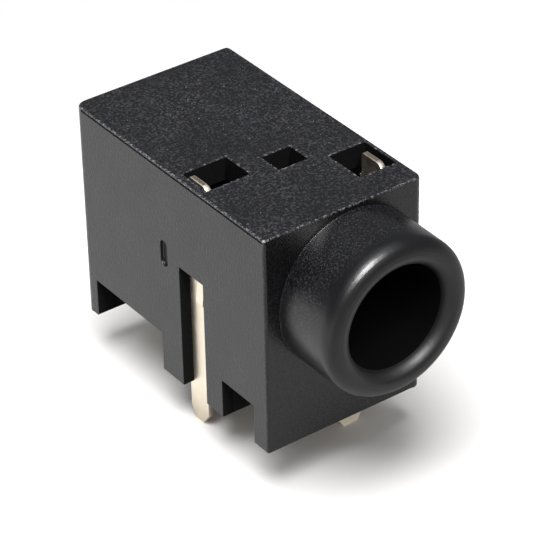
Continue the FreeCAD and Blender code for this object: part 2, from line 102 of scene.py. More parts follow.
# Each piece's box in the frame: its lowest and highest corner
SPAN = {node: np.array(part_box(node)) / MM for node in frame["nodes"]}
MOUNT = {mount["name"]: mount for mount in frame["record"]["mounts"]}
HOUSING_LOW, HOUSING_HIGH = SPAN["housing"]
HALF_WIDTH = HOUSING_HIGH[0]
BACK_Y = HOUSING_HIGH[1]
TOP_Z = HOUSING_HIGH[2]
TIP_Y = SPAN["tip_terminal"][0][1]
RING_Y = SPAN["ring_terminal"][0][1]
AXIS_X = MOUNT["plug_bore"]["pos_m"][0] / MM
AXIS_Z = MOUNT["plug_bore"]["pos_m"][2] / MM
BORE_RADIUS = MOUNT["plug_bore"]["dims"]["r_mm"]
COLLAR_RADIUS = MOUNT["panel_collar"]["dims"]["r_mm"]
# In the photograph the barrel is a little slimmer than the frame's
BARREL_RADIUS = COLLAR_RADIUS - 0.08

# Walls, feet and side slot of the moulding, as the frame has them
SIDE_WALL = 0.4
END_WALL = 0.95
ROOF_WALL = 0.8
FOOT_HEIGHT = 1.4
COVER_GAP = 0.03
INNER_X = HALF_WIDTH - SIDE_WALL
END_FOOT = SPAN["bottom_cover"][0][1] - COVER_GAP
MIDDLE_FOOT_START = 2.4
MIDDLE_FOOT_END = 5.7
SLOT_START = TIP_Y - 0.2
SLOT_END = TIP_Y + 1.05
SLOT_TOP = 4.5

# The witness line below the roof, between its lower and its upper edge
PARTING_LOW = 7.665
PARTING_HIGH = 7.755

# Round and oval holes, and half of the square patch of wall that each is sunk in
RELIEF_RADIUS = 1.95
RELIEF_SQUARE = RELIEF_RADIUS + 0.05
BORE_SQUARE = COLLAR_RADIUS / math.sqrt(2) - 0.1
DIMPLE = np.array((5.37, 4.6))
DIMPLE_EDGE = 0.012
DIMPLE_HALF_WIDTH = 0.19
DIMPLE_HALF_HEIGHT = 0.47
DIMPLE_SQUARE = np.array((DIMPLE_HALF_WIDTH + 0.05, DIMPLE_HALF_HEIGHT + 0.09))

# The contacts' strip: its thickness, its room beside a wall, and the height just above the cover
# where the plates and shelves start
STRIP = 0.2
WALL_GAP = 0.02
PLATE_BASE = 1.92
PLATE_WIDTH = {"tip_terminal": 1.25, "ring_terminal": 1.3}
# Its legs: their width, the room round them in the cover, and how much of their front and back
# edges the pointed end takes, over its height
LEG_WIDTH = 0.95
LEG_GAP = 0.07
LEG_FRONT = 0.3
LEG_BACK = 0.22
LEG_TAPER = 0.4
# How far the barb of the tip's leg stands out behind it
BARB_REACH = 0.12
SLEEVE_LEG_X = 0.55
# The two tabs in the roof: how long they are, and how far they stand from where the frame has them
TAB_LENGTH = {"tip_terminal": 1.05, "ring_terminal": 1.04}
TAB_SHIFT = {"tip_terminal": -0.13, "ring_terminal": 0.18}

# The roof's three windows: their corners at the front left and at the back right
WINDOWS = [
    ((-INNER_X - 0.12, TIP_Y - 0.2), (-INNER_X + 1.5, TIP_Y + 1.06)),
    ((-0.26, 2.95), (0.82, 3.86)),
    ((INNER_X - 1.18, RING_Y + 0.03), (INNER_X + 0.2, RING_Y + 1.58)),
]


def cut_top(node, low_x):
    """The box round the flat, torn middle of a tab's cut top."""
    start = SPAN[node][0][1] + TAB_SHIFT[node]
    return ((low_x, start + 0.34, TOP_Z - 0.1),
            (low_x + 0.11, start + TAB_LENGTH[node] - 0.1, TOP_Z + 1))


CUT_TOPS = [cut_top("tip_terminal", -INNER_X + 0.035), cut_top("ring_terminal", INNER_X - 0.175)]

# The camera of the photograph: how it is turned, where it stands and its focal length. The lamps
# all stand at one distance from the socket.
VIEW_AZIMUTH = math.radians(-35.635)
VIEW_ELEVATION = math.radians(33.869)
VIEW_ROLL = math.radians(-1.221)
VIEW_SIDE = -2.2191
VIEW_UP = 4.4881
VIEW_DISTANCE = 90.65
FOCAL_PIXELS = 2900.6
FRAME_PIXELS = 550
SENSOR = 36.0
LAMP_DISTANCE = 300


def linear_colour(code):
    """An sRGB hex colour as the linear values that a shader takes, with alpha 1."""
    channels = np.array([int(code[start:start + 2], 16) for start in (0, 2, 4)]) / 255
    low = channels / 12.92
    high = ((channels + 0.055) / 1.055) ** 2.4
    return (*np.where(channels <= 0.04045, low, high).tolist(), 1.0)


def length(name, description, millimetres):
    """A length that the sidebar shows in the scene's unit."""
    return FloatProperty(name=name, description=description, default=millimetres * MM,
                         min=0.0, unit="LENGTH", precision=6)


def colour(name, description, code):
    """A colour that the sidebar shows as a swatch."""
    return FloatVectorProperty(name=name, description=description, subtype="COLOR", size=3,
                               min=0.0, max=1.0, default=linear_colour(code)[:3])


class MouldingSettings(bpy.types.PropertyGroup):
    """Edges and colours of the black mouldings."""
    edge_round: length("Edge rounding", "Radius left on the moulding's plain edges", 0.035)
    front_round: length("Left front rounding", "Radius of the left upright front corner", 0.09)
    left_back_round: length("Left back rounding", "Radius of the left upright back corner", 0.42)
    right_back_round: length("Right back rounding", "Radius of the right upright back corner", 0.25)
    right_front_round: length("Right front rounding", "Radius of the right upright front corner", 0.32)
    far_round: length("Far edges", "Radius of the roof's right and back edges", 0.14)
    foot_round: length("Foot rounding", "Radius of the outer feet's inner edges", 0.12)
    window_round: length("Window corners", "Radius of the roof windows' corners", 0.05)
    parting_depth: length("Parting line depth", "Depth of the witness line below the roof", 0.03)
    dimple_depth: length("Dimple depth", "Depth of the plain oval dimple", 0.12)
    plastic: colour("Plastic", "Black of the glass-filled moulding", "0b0b0d")
    # The same grey serves as the painted highlight along the roof's sharp left and front edges
    scuff_and_edge_highlight: colour("Scuffs", "Grey of scuffed grain and flash along the edges", "7c7c82")


class BarrelSettings(bpy.types.PropertyGroup):
    """Roundings of the barrel."""
    rim_round: length("Rim rounding", "Radius of the barrel's outer rim", 0.47)
    lip_round: length("Lip rounding", "Radius of the bore's mouth", 0.39)
    collar_length: length("Root collar", "Length of the low collar at the barrel's root", 0.05)
    collar_height: length("Collar height", "How far the collar stands off the barrel", 0.006)
    draft: length("Draft", "How much the barrel's radius shrinks towards its rim", 0.02)


class ContactSettings(bpy.types.PropertyGroup):
    """Edges and colours of the contact strips."""
    shear_round: length("Sheared edge", "Radius of the edges that the die leaves", 0.03)
    bend_round: length("Bend", "Inner radius of the bends", 0.12)
    gold: colour("Gold plate", "Colour of the thin gold plating", "f9eed9")
    # The tone of the torn tab tops: bare brass, darkened further as painted shade
    sheared_and_shaded: colour("Sheared edge", "Colour of the bare brass where the die cut it", "54493a")


class StageSettings(bpy.types.PropertyGroup):
    """Floor and lamps."""
    floor_size: length("Floor", "Width of the floor", 900.0)
    overhead_power: FloatProperty(name="Overhead lamp", description="Power of the large overhead softbox",
                                  default=1.4, min=0.0, unit="POWER", precision=4)
    front_power: FloatProperty(name="Front lamp", description="Power of the softbox in front",
                               default=2.2, min=0.0, unit="POWER", precision=4)
    paper_glow: FloatProperty(name="Paper glow", description="Light added to the paper, shadows too",
                              default=0.03, min=0.0)


def unit(vectors):
    """Each vector divided by its own length."""
    return vectors / np.linalg.norm(vectors, axis=-1, keepdims=True)


def rounded_path(corners, radius, closed=True):
    """Straight runs whose corners give way to arcs.

    An arc touches both runs of its corner at radius / tan(half the corner's angle) from it. Its
    centre lies on the corner's bisector, at radius / sin(half the angle). Points along it are a
    spherical blend of the two radii that end it. A corner whose radius is 0 stays one point.
    """
    corners = np.asarray(corners, float)
    radius = np.broadcast_to(np.asarray(radius, float), (len(corners),))
    to_last = unit(np.roll(corners, 1, axis=0) - corners)
    to_next = unit(np.roll(corners, -1, axis=0) - corners)
    if not closed:
        # The ends are no corners: a square turn there keeps the sums finite
        radius = np.concatenate([[0.0], radius[1:-1], [0.0]])
        to_last[0] = to_last[0][::-1] * (1, -1)
    half = np.arccos(np.clip((to_last * to_next).sum(1), -1 + TINY, 1 - TINY)) / 2
    reach = (radius / np.tan(half))[:, None]
    centre = corners + unit(to_last + to_next) * (radius / np.sin(half))[:, None]
    start = (corners + to_last * reach - centre)[:, None]
    end = (corners + to_next * reach - centre)[:, None]
    sweep = (math.pi - 2 * half)[:, None, None]
    share = np.linspace(0, 1, ARC_STEPS)[None, :, None]
    blend = np.sin((1 - share) * sweep) * start + np.sin(share * sweep) * end
    points = (centre[:, None] + blend / np.sin(sweep)).reshape(-1, 2)
    step = np.linalg.norm(points - np.roll(points, 1, axis=0), axis=1)
    step[0] = 1.0 if not closed else step[0]
    return points[step > TINY]


def cell_block(boxes, more_planes=((), (), ())):
    """Boxes of plastic and of air laid over each other in order, as a grid of cells.

    Each box is (filled, lowest corner, highest corner). The grid's planes are all the boxes'
    faces and any more along each axis. Returns the three lists of planes and, for each cell
    between them, whether it is filled.
    """
    ends = np.array([[low, high] for _, low, high in boxes], float)
    planes = [np.unique(np.round(np.append(ends[:, :, axis], more_planes[axis]), 5)) for axis in range(3)]
    filled = np.zeros([len(places) - 1 for places in planes], bool)
    for solid, low, high in boxes:
        inside = [(places[:-1] > low[axis] - TINY) & (places[1:] < high[axis] + TINY)
                  for axis, places in enumerate(planes)]
        filled[np.ix_(*inside)] = solid
    return planes, filled


def block_shell(planes, filled):
    """The skin of a grid of cells: a quad wherever a filled cell meets an empty one.

    Along each axis the difference between neighbouring cells is 1 or -1 at such a wall. Its four
    corners are the wall's plane and the two planes on each side of the cell, taken in the order
    that turns the quad's face towards the empty cell. Returns corner points, four for each quad.
    """
    cells = np.pad(filled, 1).astype(int)
    quads = []
    for axis in range(3):
        across, along = (axis + 1) % 3, (axis + 2) % 3
        change = np.diff(cells, axis=axis)
        for sign, order in ((-1, (0, 1, 2, 3)), (1, (3, 2, 1, 0))):
            found = np.argwhere(change == sign)
            found[:, [across, along]] -= 1
            corners = np.repeat(found[:, None], 4, axis=1)
            corners[:, 1:3, across] += 1
            corners[:, 2:4, along] += 1
            places = np.stack([planes[k][corners[..., k]] for k in range(3)], axis=-1)
            quads.append(places[:, list(order)])
    return np.concatenate(quads)


def corner_frame(x, y, radius):
    """Which way an upright outer corner of the body points, and the centre of its rounding."""
    outward = np.array((np.sign(x), np.sign(y - BACK_Y / 2)))
    return outward, np.array((x, y)) - outward * radius


def corner_planes(corners, roof_radius):
    """Planes that cut each rounded corner and roof edge so that its rounding turns in even steps."""
    turn = np.tan(np.linspace(0, math.pi / 4, CORNER_STEPS))
    places = ([], [], [])
    for x, y, radius in corners:
        outward, centre = corner_frame(x, y, radius)
        for axis in range(2):
            places[axis].extend(centre[axis] + outward[axis] * radius * turn)
    for axis in range(3):
        places[axis].extend(HOUSING_HIGH[axis] - roof_radius * (1 - turn))
    return places


def round_corners(points, corners):
    """Bend the square upright corners of a block round.

    In the square between the rounding's centre c and the corner, a point c + d goes to
    c + d max(dx, dy) / |d|. The square's two outer sides become a quarter circle.
    """
    bent = points.copy()
    for x, y, radius in corners:
        outward, centre = corner_frame(x, y, radius)
        reach = (points[..., :2] - centre) * outward
        inside = (reach > -TINY).all(-1)
        share = reach.max(-1) / np.maximum(np.hypot(reach[..., 0], reach[..., 1]), TINY)
        bent[inside, :2] = (centre + outward * reach * share[..., None])[inside]
    return bent


def round_roof(points, corners, roof_radius):
    """Round the roof's right and back edges, and let the rounding die away round the corners.

    At depth d behind the wall and h below the roof, both less than the radius r, the point
    a = r - d, b = r - h goes to (a, b) max(a, b) / |(a, b)|. The radius shrinks with the larger of
    the wall's outward components along X and Y, so that it ends where a wall faces left or front.
    """
    walls = points[..., :2]
    depths = HOUSING_HIGH[:2] - walls
    outward = np.stack([depths[..., 0] < depths[..., 1], depths[..., 0] >= depths[..., 1]], -1).astype(float)
    depth = depths.min(-1)
    for x, y, radius in corners:
        toward, centre = corner_frame(x, y, radius)
        inside = ((walls - centre) * toward > TINY).all(-1)
        away = np.linalg.norm(walls - centre, axis=-1)
        depth = np.where(inside, radius - away, depth)
        outward = np.where(inside[..., None], (walls - centre) / np.maximum(away, TINY)[..., None], outward)
    radius = roof_radius * np.clip(outward.max(-1), 0, 1)
    across, up = radius - depth, radius - (TOP_Z - points[..., 2])
    bent = (across > TINY) & (up > TINY)
    share = np.where(bent, np.maximum(across, up) / np.maximum(np.hypot(across, up), TINY), 1)
    moved = points.copy()
    moved[..., :2] -= outward * (across * (1 - share))[..., None] * bent[..., None]
    moved[..., 2] -= up * (1 - share) * bent
    return moved


def hole_patch(quads, axis, place, low, high, rings, depths):
    """A round or oval recess or hole sunk into one flat wall of a shell.

    The quads of the wall at `place` between `low` and `high` give way to triangles between their
    outline and the first ring. Each run of the outline goes to the ring's point that is nearest
    in angle to the run's own nearest point to the centre, and each step of the ring goes to the
    outline's corner on its side. The rings then follow each other at their depths below the wall.
    Returns the quads that stay, the triangles, and the quads between the rings.
    """
    across, along = (axis + 1) % 3, (axis + 2) % 3
    low, high = np.array(low), np.array(high)
    flat = quads[:, :, [across, along]]
    inside = (np.abs(quads[:, :, axis] - place) < TINY).all(1)
    inside &= ((flat > low - TINY) & (flat < high + TINY)).all((1, 2))
    outward = np.cross(quads[inside][0, 1] - quads[inside][0, 0],
                       quads[inside][0, 2] - quads[inside][0, 1])[axis] > 0
    middle = (low + high) / 2

    def angle(places):
        """Each place's angle round the patch's middle."""
        return np.arctan2(*(places - middle).T[::-1])

    border = np.unique(np.round(flat[inside].reshape(-1, 2), 5), axis=0)
    border = border[(np.abs(border - low) < TINY).any(1) | (np.abs(border - high) < TINY).any(1)]
    corner = border[np.argsort(angle(border))]
    start = np.argmin(angle(rings[0]))
    rings = [np.roll(points, -start, axis=0) for points in rings]
    ring = rings[0]
    turn = np.unwrap(angle(ring))
    after = np.roll(corner, -1, axis=0)
    share = ((middle - corner) * (after - corner)).sum(1) / ((after - corner) ** 2).sum(1)
    nearest = corner + np.clip(share, 0, 1)[:, None] * (after - corner)
    gate = np.unwrap(angle(nearest))
    count, sides = len(ring), len(corner)
    following = np.append(turn[1:], turn[0] + 2 * math.pi)
    step_middle = (turn + following) / 2
    owner = np.searchsorted(gate, gate[0] + (step_middle - gate[0]) % (2 * math.pi), side="right") % sides
    opposite = np.searchsorted(step_middle, step_middle[0] + (gate - step_middle[0]) % (2 * math.pi)) % count
    index = np.arange(count)
    steps = np.stack([corner[owner], ring[(index + 1) % count], ring[index]], axis=1)
    runs = np.stack([corner, after, ring[opposite]], axis=1)
    triangles = np.concatenate([steps, runs])
    sign = 1 if outward else -1
    bands = []
    for first, second, near, far in zip(rings, rings[1:], depths, depths[1:]):
        band = np.empty((count, 4, 3))
        band[:, 0, [across, along]], band[:, 1, [across, along]] = first, np.roll(first, -1, axis=0)
        band[:, 3, [across, along]], band[:, 2, [across, along]] = second, np.roll(second, -1, axis=0)
        band[:, :2, axis] = place - sign * near
        band[:, 2:, axis] = place - sign * far
        bands.append(band if outward else band[:, ::-1])
    placed = np.full((len(triangles), 3, 3), float(place))
    placed[..., [across, along]] = triangles if outward else triangles[:, ::-1]
    return quads[~inside], placed, np.concatenate(bands) if bands else np.empty((0, 4, 3))


def face_mesh(name, *face_sets):
    """A mesh from sets of faces given as corner points, with shared corners merged.

    Corners whose places agree to a hundred-thousandth of a millimetre become one vertex. Faces
    that lie in one plane are joined, and those left with more than four corners are cut into
    triangles, which any tool draws alike.
    """
    corners = np.concatenate([faces.reshape(-1, 3) for faces in face_sets])
    points, index = np.unique(np.round(corners, 5), axis=0, return_inverse=True)
    faces, start = [], 0
    for group in face_sets:
        size = len(group) * group.shape[1]
        faces += index.ravel()[start:start + size].reshape(-1, group.shape[1]).tolist()
        start += size
    mesh = bpy.data.meshes.new(name)
    mesh.from_pydata((points * MM).tolist(), [], faces)
    shell = bmesh.new()
    shell.from_mesh(mesh)
    bmesh.ops.dissolve_limit(shell, angle_limit=math.radians(0.2), verts=shell.verts, edges=shell.edges)
    bmesh.ops.triangulate(shell, faces=[face for face in shell.faces if len(face.verts) > 4])
    shell.to_mesh(mesh)
    shell.free()
    return mesh


def item_values(items, name, width=1, kind=float):
    """One attribute of each of a mesh's vertices, edges, faces or corners, a row for each."""
    values = np.empty(len(items) * width, kind)
    items.foreach_get(name, values)
    return values.reshape(-1, width) if width > 1 else values


def edge_facts(mesh):
    """How each edge of a closed mesh lies.

    Returns both its end points in millimetres, the angle between its two faces, and whether one
    of them is square to an axis and the other is not.
    """
    points = item_values(mesh.vertices, "co", 3)
    ends = item_values(mesh.edges, "vertices", 2, int)
    normals = item_values(mesh.polygons, "normal", 3)
    sizes = item_values(mesh.polygons, "loop_total", kind=int)
    loop_edge = item_values(mesh.loops, "edge_index", kind=int)
    faces = np.repeat(np.arange(len(sizes)), sizes)[np.argsort(loop_edge, kind="stable")].reshape(-1, 2)
    folded = np.arccos(np.clip((normals[faces[:, 0]] * normals[faces[:, 1]]).sum(1), -1, 1))
    square = (np.abs(normals).max(1) > 1 - TINY)[faces]
    return points[ends] / MM, folded, square[:, 0] != square[:, 1]


def round_block_edges(piece, radii):
    """Bevel a block's edges, each with its own radius in millimetres, and keep its faces flat."""
    mesh = piece.data
    _, folded, half_square = edge_facts(mesh)
    weight = mesh.attributes.new("bevel_weight_edge", "FLOAT", "EDGE")
    weight.data.foreach_set("value", (radii / BEVEL_LIMIT).astype(np.float32))
    sharp = mesh.attributes.new("sharp_edge", "BOOLEAN", "EDGE")
    sharp.data.foreach_set("value", ((folded > EDGE_FOLD) | half_square) & (radii == 0))
    mesh.polygons.foreach_set("use_smooth", np.ones(len(mesh.polygons), bool))
    bevel = piece.modifiers.new("edge_rounding", "BEVEL")
    bevel.limit_method = "WEIGHT"
    bevel.width = BEVEL_LIMIT * MM
    bevel.segments = BEVEL_STEPS
    bevel.use_clamp_overlap = False
    bevel.loop_slide = False
    bevel.harden_normals = True


def turned_surface(profile, segments=160):
    """A closed profile of (place along Y, radius) points turned once round the plug's axis.

    A point at angle a has x = axis + radius cos a, y as given and z = axis + radius sin a.
    """
    turn = np.linspace(0, 2 * math.pi, segments, endpoint=False)
    along, radius = profile.T
    points = np.empty((len(profile), segments, 3))
    points[..., 0] = AXIS_X + radius[:, None] * np.cos(turn)
    points[..., 1] = along[:, None]
    points[..., 2] = AXIS_Z + radius[:, None] * np.sin(turn)
    return points


def new_object(name, data):
    """An object in the scene that shows a mesh, a lamp or a camera."""
    shown = bpy.data.objects.new(name, data)
    bpy.context.scene.collection.objects.link(shown)
    return shown


def ring_faces(rings, count, closed, first=0):
    """Quads between neighbouring rings of a grid of points, as rows of four indices."""
    row = np.arange(rings if closed else rings - 1)[:, None]
    column = np.arange(count)[None, :]
    next_row, next_column = (row + 1) % rings, (column + 1) % count
    quads = np.stack([row * count + column, row * count + next_column,
                      next_row * count + next_column, next_row * count + column], axis=-1)
    return first + quads.reshape(-1, 4)


def grid_piece(name, grids):
    """A piece of one or more grids of points, each (rings, points round a ring, 3).

    A grid whose rings are marked closed joins its last ring to its first; an open one ends in a
    flat cap at each end. Each shell is turned so that its faces point outwards. Large faces set
    the shading, so that flat faces stay flat beside their rounded edges.
    """
    points, faces, first = [], [], 0
    for grid, closed in grids:
        rings, count = grid.shape[:2]
        quads = ring_faces(rings, count, closed, first).tolist()
        if not closed:
            quads.append(list(range(first, first + count))[::-1])
            quads.append(list(range(first + (rings - 1) * count, first + rings * count)))
        triangle = np.array([face[:3] for face in quads]) - first
        opposite = np.array([[face[0], face[2], face[-1]] for face in quads]) - first
        flat = grid.reshape(-1, 3)
        volume = sum(np.einsum("ij,ij->", flat[part[:, 0]], np.cross(flat[part[:, 1]], flat[part[:, 2]]))
                     for part in (triangle, opposite))
        faces += [face[::-1] for face in quads] if volume < 0 else quads
        points.append(flat)
        first += rings * count
    mesh = bpy.data.meshes.new(name)
    mesh.from_pydata((np.concatenate(points) * MM).tolist(), [], faces)
    mesh.polygons.foreach_set("use_smooth", np.ones(len(mesh.polygons), bool))
    piece = new_object(name, mesh)
    shading = piece.modifiers.new("flat_faces", "WEIGHTED_NORMAL")
    shading.weight = 80
    shading.keep_sharp = True
    return piece


def stamped_blank(outline, near, far, edge, order):
    """Rings of a flat blank cut from strip, with its cut edges slightly rounded.

    The outline runs anticlockwise in two of the axes and the thickness in the third; order says
    which. Each ring is the outline moved in along its mitred normals by edge (1 - sin a), at a
    depth of edge (1 - cos a), as a goes from the blank's face to its cut edge and back.
    """
    ahead = unit(np.roll(outline, -1, axis=0) - outline)
    behind = np.roll(ahead, 1, axis=0)
    out_ahead = ahead[:, ::-1] * (1, -1)
    out_behind = behind[:, ::-1] * (1, -1)
    mitre = (out_ahead + out_behind) / (1 + (out_ahead * out_behind).sum(1))[:, None]
    turn = np.linspace(0, math.pi / 2, EDGE_STEPS)
    inset = edge * (1 - np.sin(turn))
    depth = edge * (1 - np.cos(turn))
    insets = np.concatenate([inset, inset[::-1]])
    depths = np.concatenate([near + depth, far - depth[::-1]])
    rings = np.empty((len(insets), len(outline), 3))
    rings[..., order[:2]] = outline[None] - mitre[None] * insets[:, None, None]
    rings[..., order[2]] = depths[:, None]
    return rings


def carried_strip(path, plane, across, low, high, edge, dome=None):
    """Rings of a strip: a rounded rectangle carried along a path that lies in one plane.

    At each point of the path the section reaches half the strip's thickness to both sides along
    the path's normal, and from low to high along the axis across. Its corners are quarter circles
    of radius edge. dome, if given, is how far the section's middle is pushed along the normal.
    """
    ahead = unit(np.gradient(path, axis=0))
    normal = ahead[:, ::-1] * (-1, 1)
    low, high = np.broadcast_to(low, len(path)), np.broadcast_to(high, len(path))
    half = STRIP / 2
    turn = np.linspace(0, math.pi / 2, EDGE_STEPS)[1:-1]
    share = np.linspace(0, 1, ACROSS_STEPS)
    level = np.concatenate([share, np.ones(2 * len(turn)), share[::-1], np.zeros(2 * len(turn))])
    curl = edge * (1 - np.sin(turn))
    lift = edge * (1 - np.cos(turn))
    side = np.concatenate([np.full(ACROSS_STEPS, half), half - lift, lift[::-1] - half,
                           np.full(ACROSS_STEPS, -half), lift - half, half - lift[::-1]])
    shift = np.concatenate([edge * (1 - 2 * share), -curl, -curl[::-1],
                            edge * (2 * share - 1), curl, curl[::-1]])
    place = low[:, None] + (high - low)[:, None] * level + shift
    push = np.broadcast_to(side, place.shape) + (dome(path, place) if dome else 0.0)
    rings = np.empty((*place.shape, 3))
    rings[..., plane] = path[:, None] + normal[:, None] * push[..., None]
    rings[..., across] = place
    return rings


def spaced(path, gap):
    """The same path with a point every gap, so that a width or a dome can change along it."""
    run = np.concatenate([[0.0], np.cumsum(np.linalg.norm(np.diff(path, axis=0), axis=1))])
    even = np.arange(0.0, run[-1], gap)
    places = np.unique(np.round(np.concatenate([run, even]), 4))
    return np.stack([np.interp(places, run, path[:, k]) for k in range(2)], axis=1)


def spaced_ring(profile, gap):
    """The same for a closed profile."""
    return spaced(np.concatenate([profile, profile[:1]]), gap)[:-1]


def add_node(tree, kind, inputs=None, **settings):
    """A node of one kind with its settings.

    Each input is given a value, or is linked to a socket or to a node's first output in use.
    """
    node = tree.nodes.new(kind)
    for name, value in settings.items():
        setattr(node, name, value)
    for socket, value in (inputs or {}).items():
        if isinstance(value, bpy.types.Node):
            value = next(output for output in value.outputs if output.enabled)
        if isinstance(value, bpy.types.NodeSocket):
            tree.links.new(value, node.inputs[socket])
        else:
            node.inputs[socket].default_value = value
    return node


def new_material(name):
    """A material without nodes, and its node tree."""
    material = bpy.data.materials.new(name)
    material.use_nodes = True
    material.node_tree.nodes.clear()
    return material, material.node_tree


def end_in_shader(tree, inputs):
    """End a material in the Principled shader with these inputs."""
    shader = add_node(tree, "ShaderNodeBsdfPrincipled", inputs)
    add_node(tree, "ShaderNodeOutputMaterial", {"Surface": shader})


def per_metre(millimetres):
    """The texture scale that repeats once in a length."""
    return 1.0 / (millimetres * MM)


def opaque(rgb):
    """A colour setting with alpha 1."""
    return (*rgb, 1.0)


def outside_box(tree, place, low, high):
    """How far a point lies outside a box, in metres, by the axis on which it is farthest."""
    middle = (np.array(low) + np.array(high)) / 2 * MM
    half = (np.array(high) - np.array(low)) / 2 * MM
    shifted = add_node(tree, "ShaderNodeVectorMath", {0: place, 1: middle}, operation="SUBTRACT")
    size = add_node(tree, "ShaderNodeVectorMath", {0: shifted}, operation="ABSOLUTE")
    over = add_node(tree, "ShaderNodeVectorMath", {0: size, 1: half}, operation="SUBTRACT")
    parts = add_node(tree, "ShaderNodeSeparateXYZ", {0: over}).outputs
    flat = add_node(tree, "ShaderNodeMath", {0: parts["X"], 1: parts["Y"]}, operation="MAXIMUM")
    return add_node(tree, "ShaderNodeMath", {0: flat, 1: parts["Z"]}, operation="MAXIMUM")


def near_boxes(tree, place, boxes, fade):
    """1 in any of the boxes, falling to 0 at fade millimetres outside."""
    level = 0.0
    for low, high in boxes:
        share = add_node(tree, "ShaderNodeMapRange", {
            "Value": outside_box(tree, place, low, high), "From Max": fade * MM,
            "To Min": 1.0, "To Max": 0.0})
        level = add_node(tree, "ShaderNodeMath", {0: level, 1: share}, operation="MAXIMUM")
    return level


def rubbed_and_shaded_tips(tree, place, fine, roof):
    """How grey the grain's tips are: the roof, the sides and the back are rubbed; the front face and the
    inner walls keep only a trace, as painted shade that holds them near black.
    """
    cloud = add_node(tree, "ShaderNodeTexNoise", {
        "Vector": place, "Scale": per_metre(1.8), "Detail": 4.0, "Roughness": 0.6})
    dense = add_node(tree, "ShaderNodeMapRange", {
        "Value": cloud, "From Min": 0.3, "From Max": 0.7, "To Min": 0.35, "To Max": 1.3})
    tips = add_node(tree, "ShaderNodeMapRange", {
        "Value": fine, "From Min": 0.48, "From Max": 0.74, "To Max": 0.24})
    inset = 0.03
    # Faces inside this box, the front and the inner walls, get little grey: painted shade
    outside = outside_box(tree, place, (inset - HALF_WIDTH, -9, -9), (HALF_WIDTH - inset, BACK_Y - inset, 9))
    side = add_node(tree, "ShaderNodeMapRange", {
        "Value": outside, "From Max": 0.02 * MM, "To Min": 0.08, "To Max": 1.0})
    rubbed = add_node(tree, "ShaderNodeMath", {0: roof, 1: side}, operation="MAXIMUM")
    veil = add_node(tree, "ShaderNodeMath", {0: tips, 1: dense}, operation="MULTIPLY")
    return add_node(tree, "ShaderNodeMath", {0: veil, 1: rubbed}, operation="MULTIPLY")


def light_specks(tree, place, roof):
    """How light the grit on the roof, the knocked edges and the flash round the windows are. Along the
    roof's sharp left and front edges the specks are also a painted highlight.
    """
    grit = add_node(tree, "ShaderNodeTexNoise", {
        "Vector": place, "Scale": per_metre(0.13), "Detail": 1.0, "Roughness": 0.5})
    flash = add_node(tree, "ShaderNodeTexNoise", {
        "Vector": place, "Scale": per_metre(0.1), "Detail": 2.0, "Roughness": 0.7})
    rare = add_node(tree, "ShaderNodeMapRange", {
        "Value": grit, "From Min": 0.72, "From Max": 0.78, "To Max": 0.5})
    chips = add_node(tree, "ShaderNodeMapRange", {
        "Value": grit, "From Min": 0.52, "From Max": 0.64, "To Max": 0.8})
    specks = add_node(tree, "ShaderNodeMapRange", {
        "Value": flash, "From Min": 0.48, "From Max": 0.62, "To Max": 0.9})
    # Flash and knocks along the roof's sharp left and front edges, which also stand in as their painted
    # highlight
    edges = near_boxes(tree, place, [
        ((-HALF_WIDTH - 1, -1, TOP_Z - 0.045), (0.04 - HALF_WIDTH, BACK_Y + 1, TOP_Z + 1)),
        ((-HALF_WIDTH - 1, -1, TOP_Z - 0.03), (HALF_WIDTH + 1, 0.03, TOP_Z + 1))], 0.03)
    windows = [((*near, TOP_Z - 0.1), (*away, TOP_Z + 1)) for near, away in WINDOWS]
    rims = near_boxes(tree, place, windows, 0.12)
    light = 0.0
    for pattern, where in ((rare, roof), (specks, edges), (chips, rims)):
        part = add_node(tree, "ShaderNodeMath", {0: pattern, 1: where}, operation="MULTIPLY")
        light = add_node(tree, "ShaderNodeMath", {0: light, 1: part}, operation="MAXIMUM")
    return light


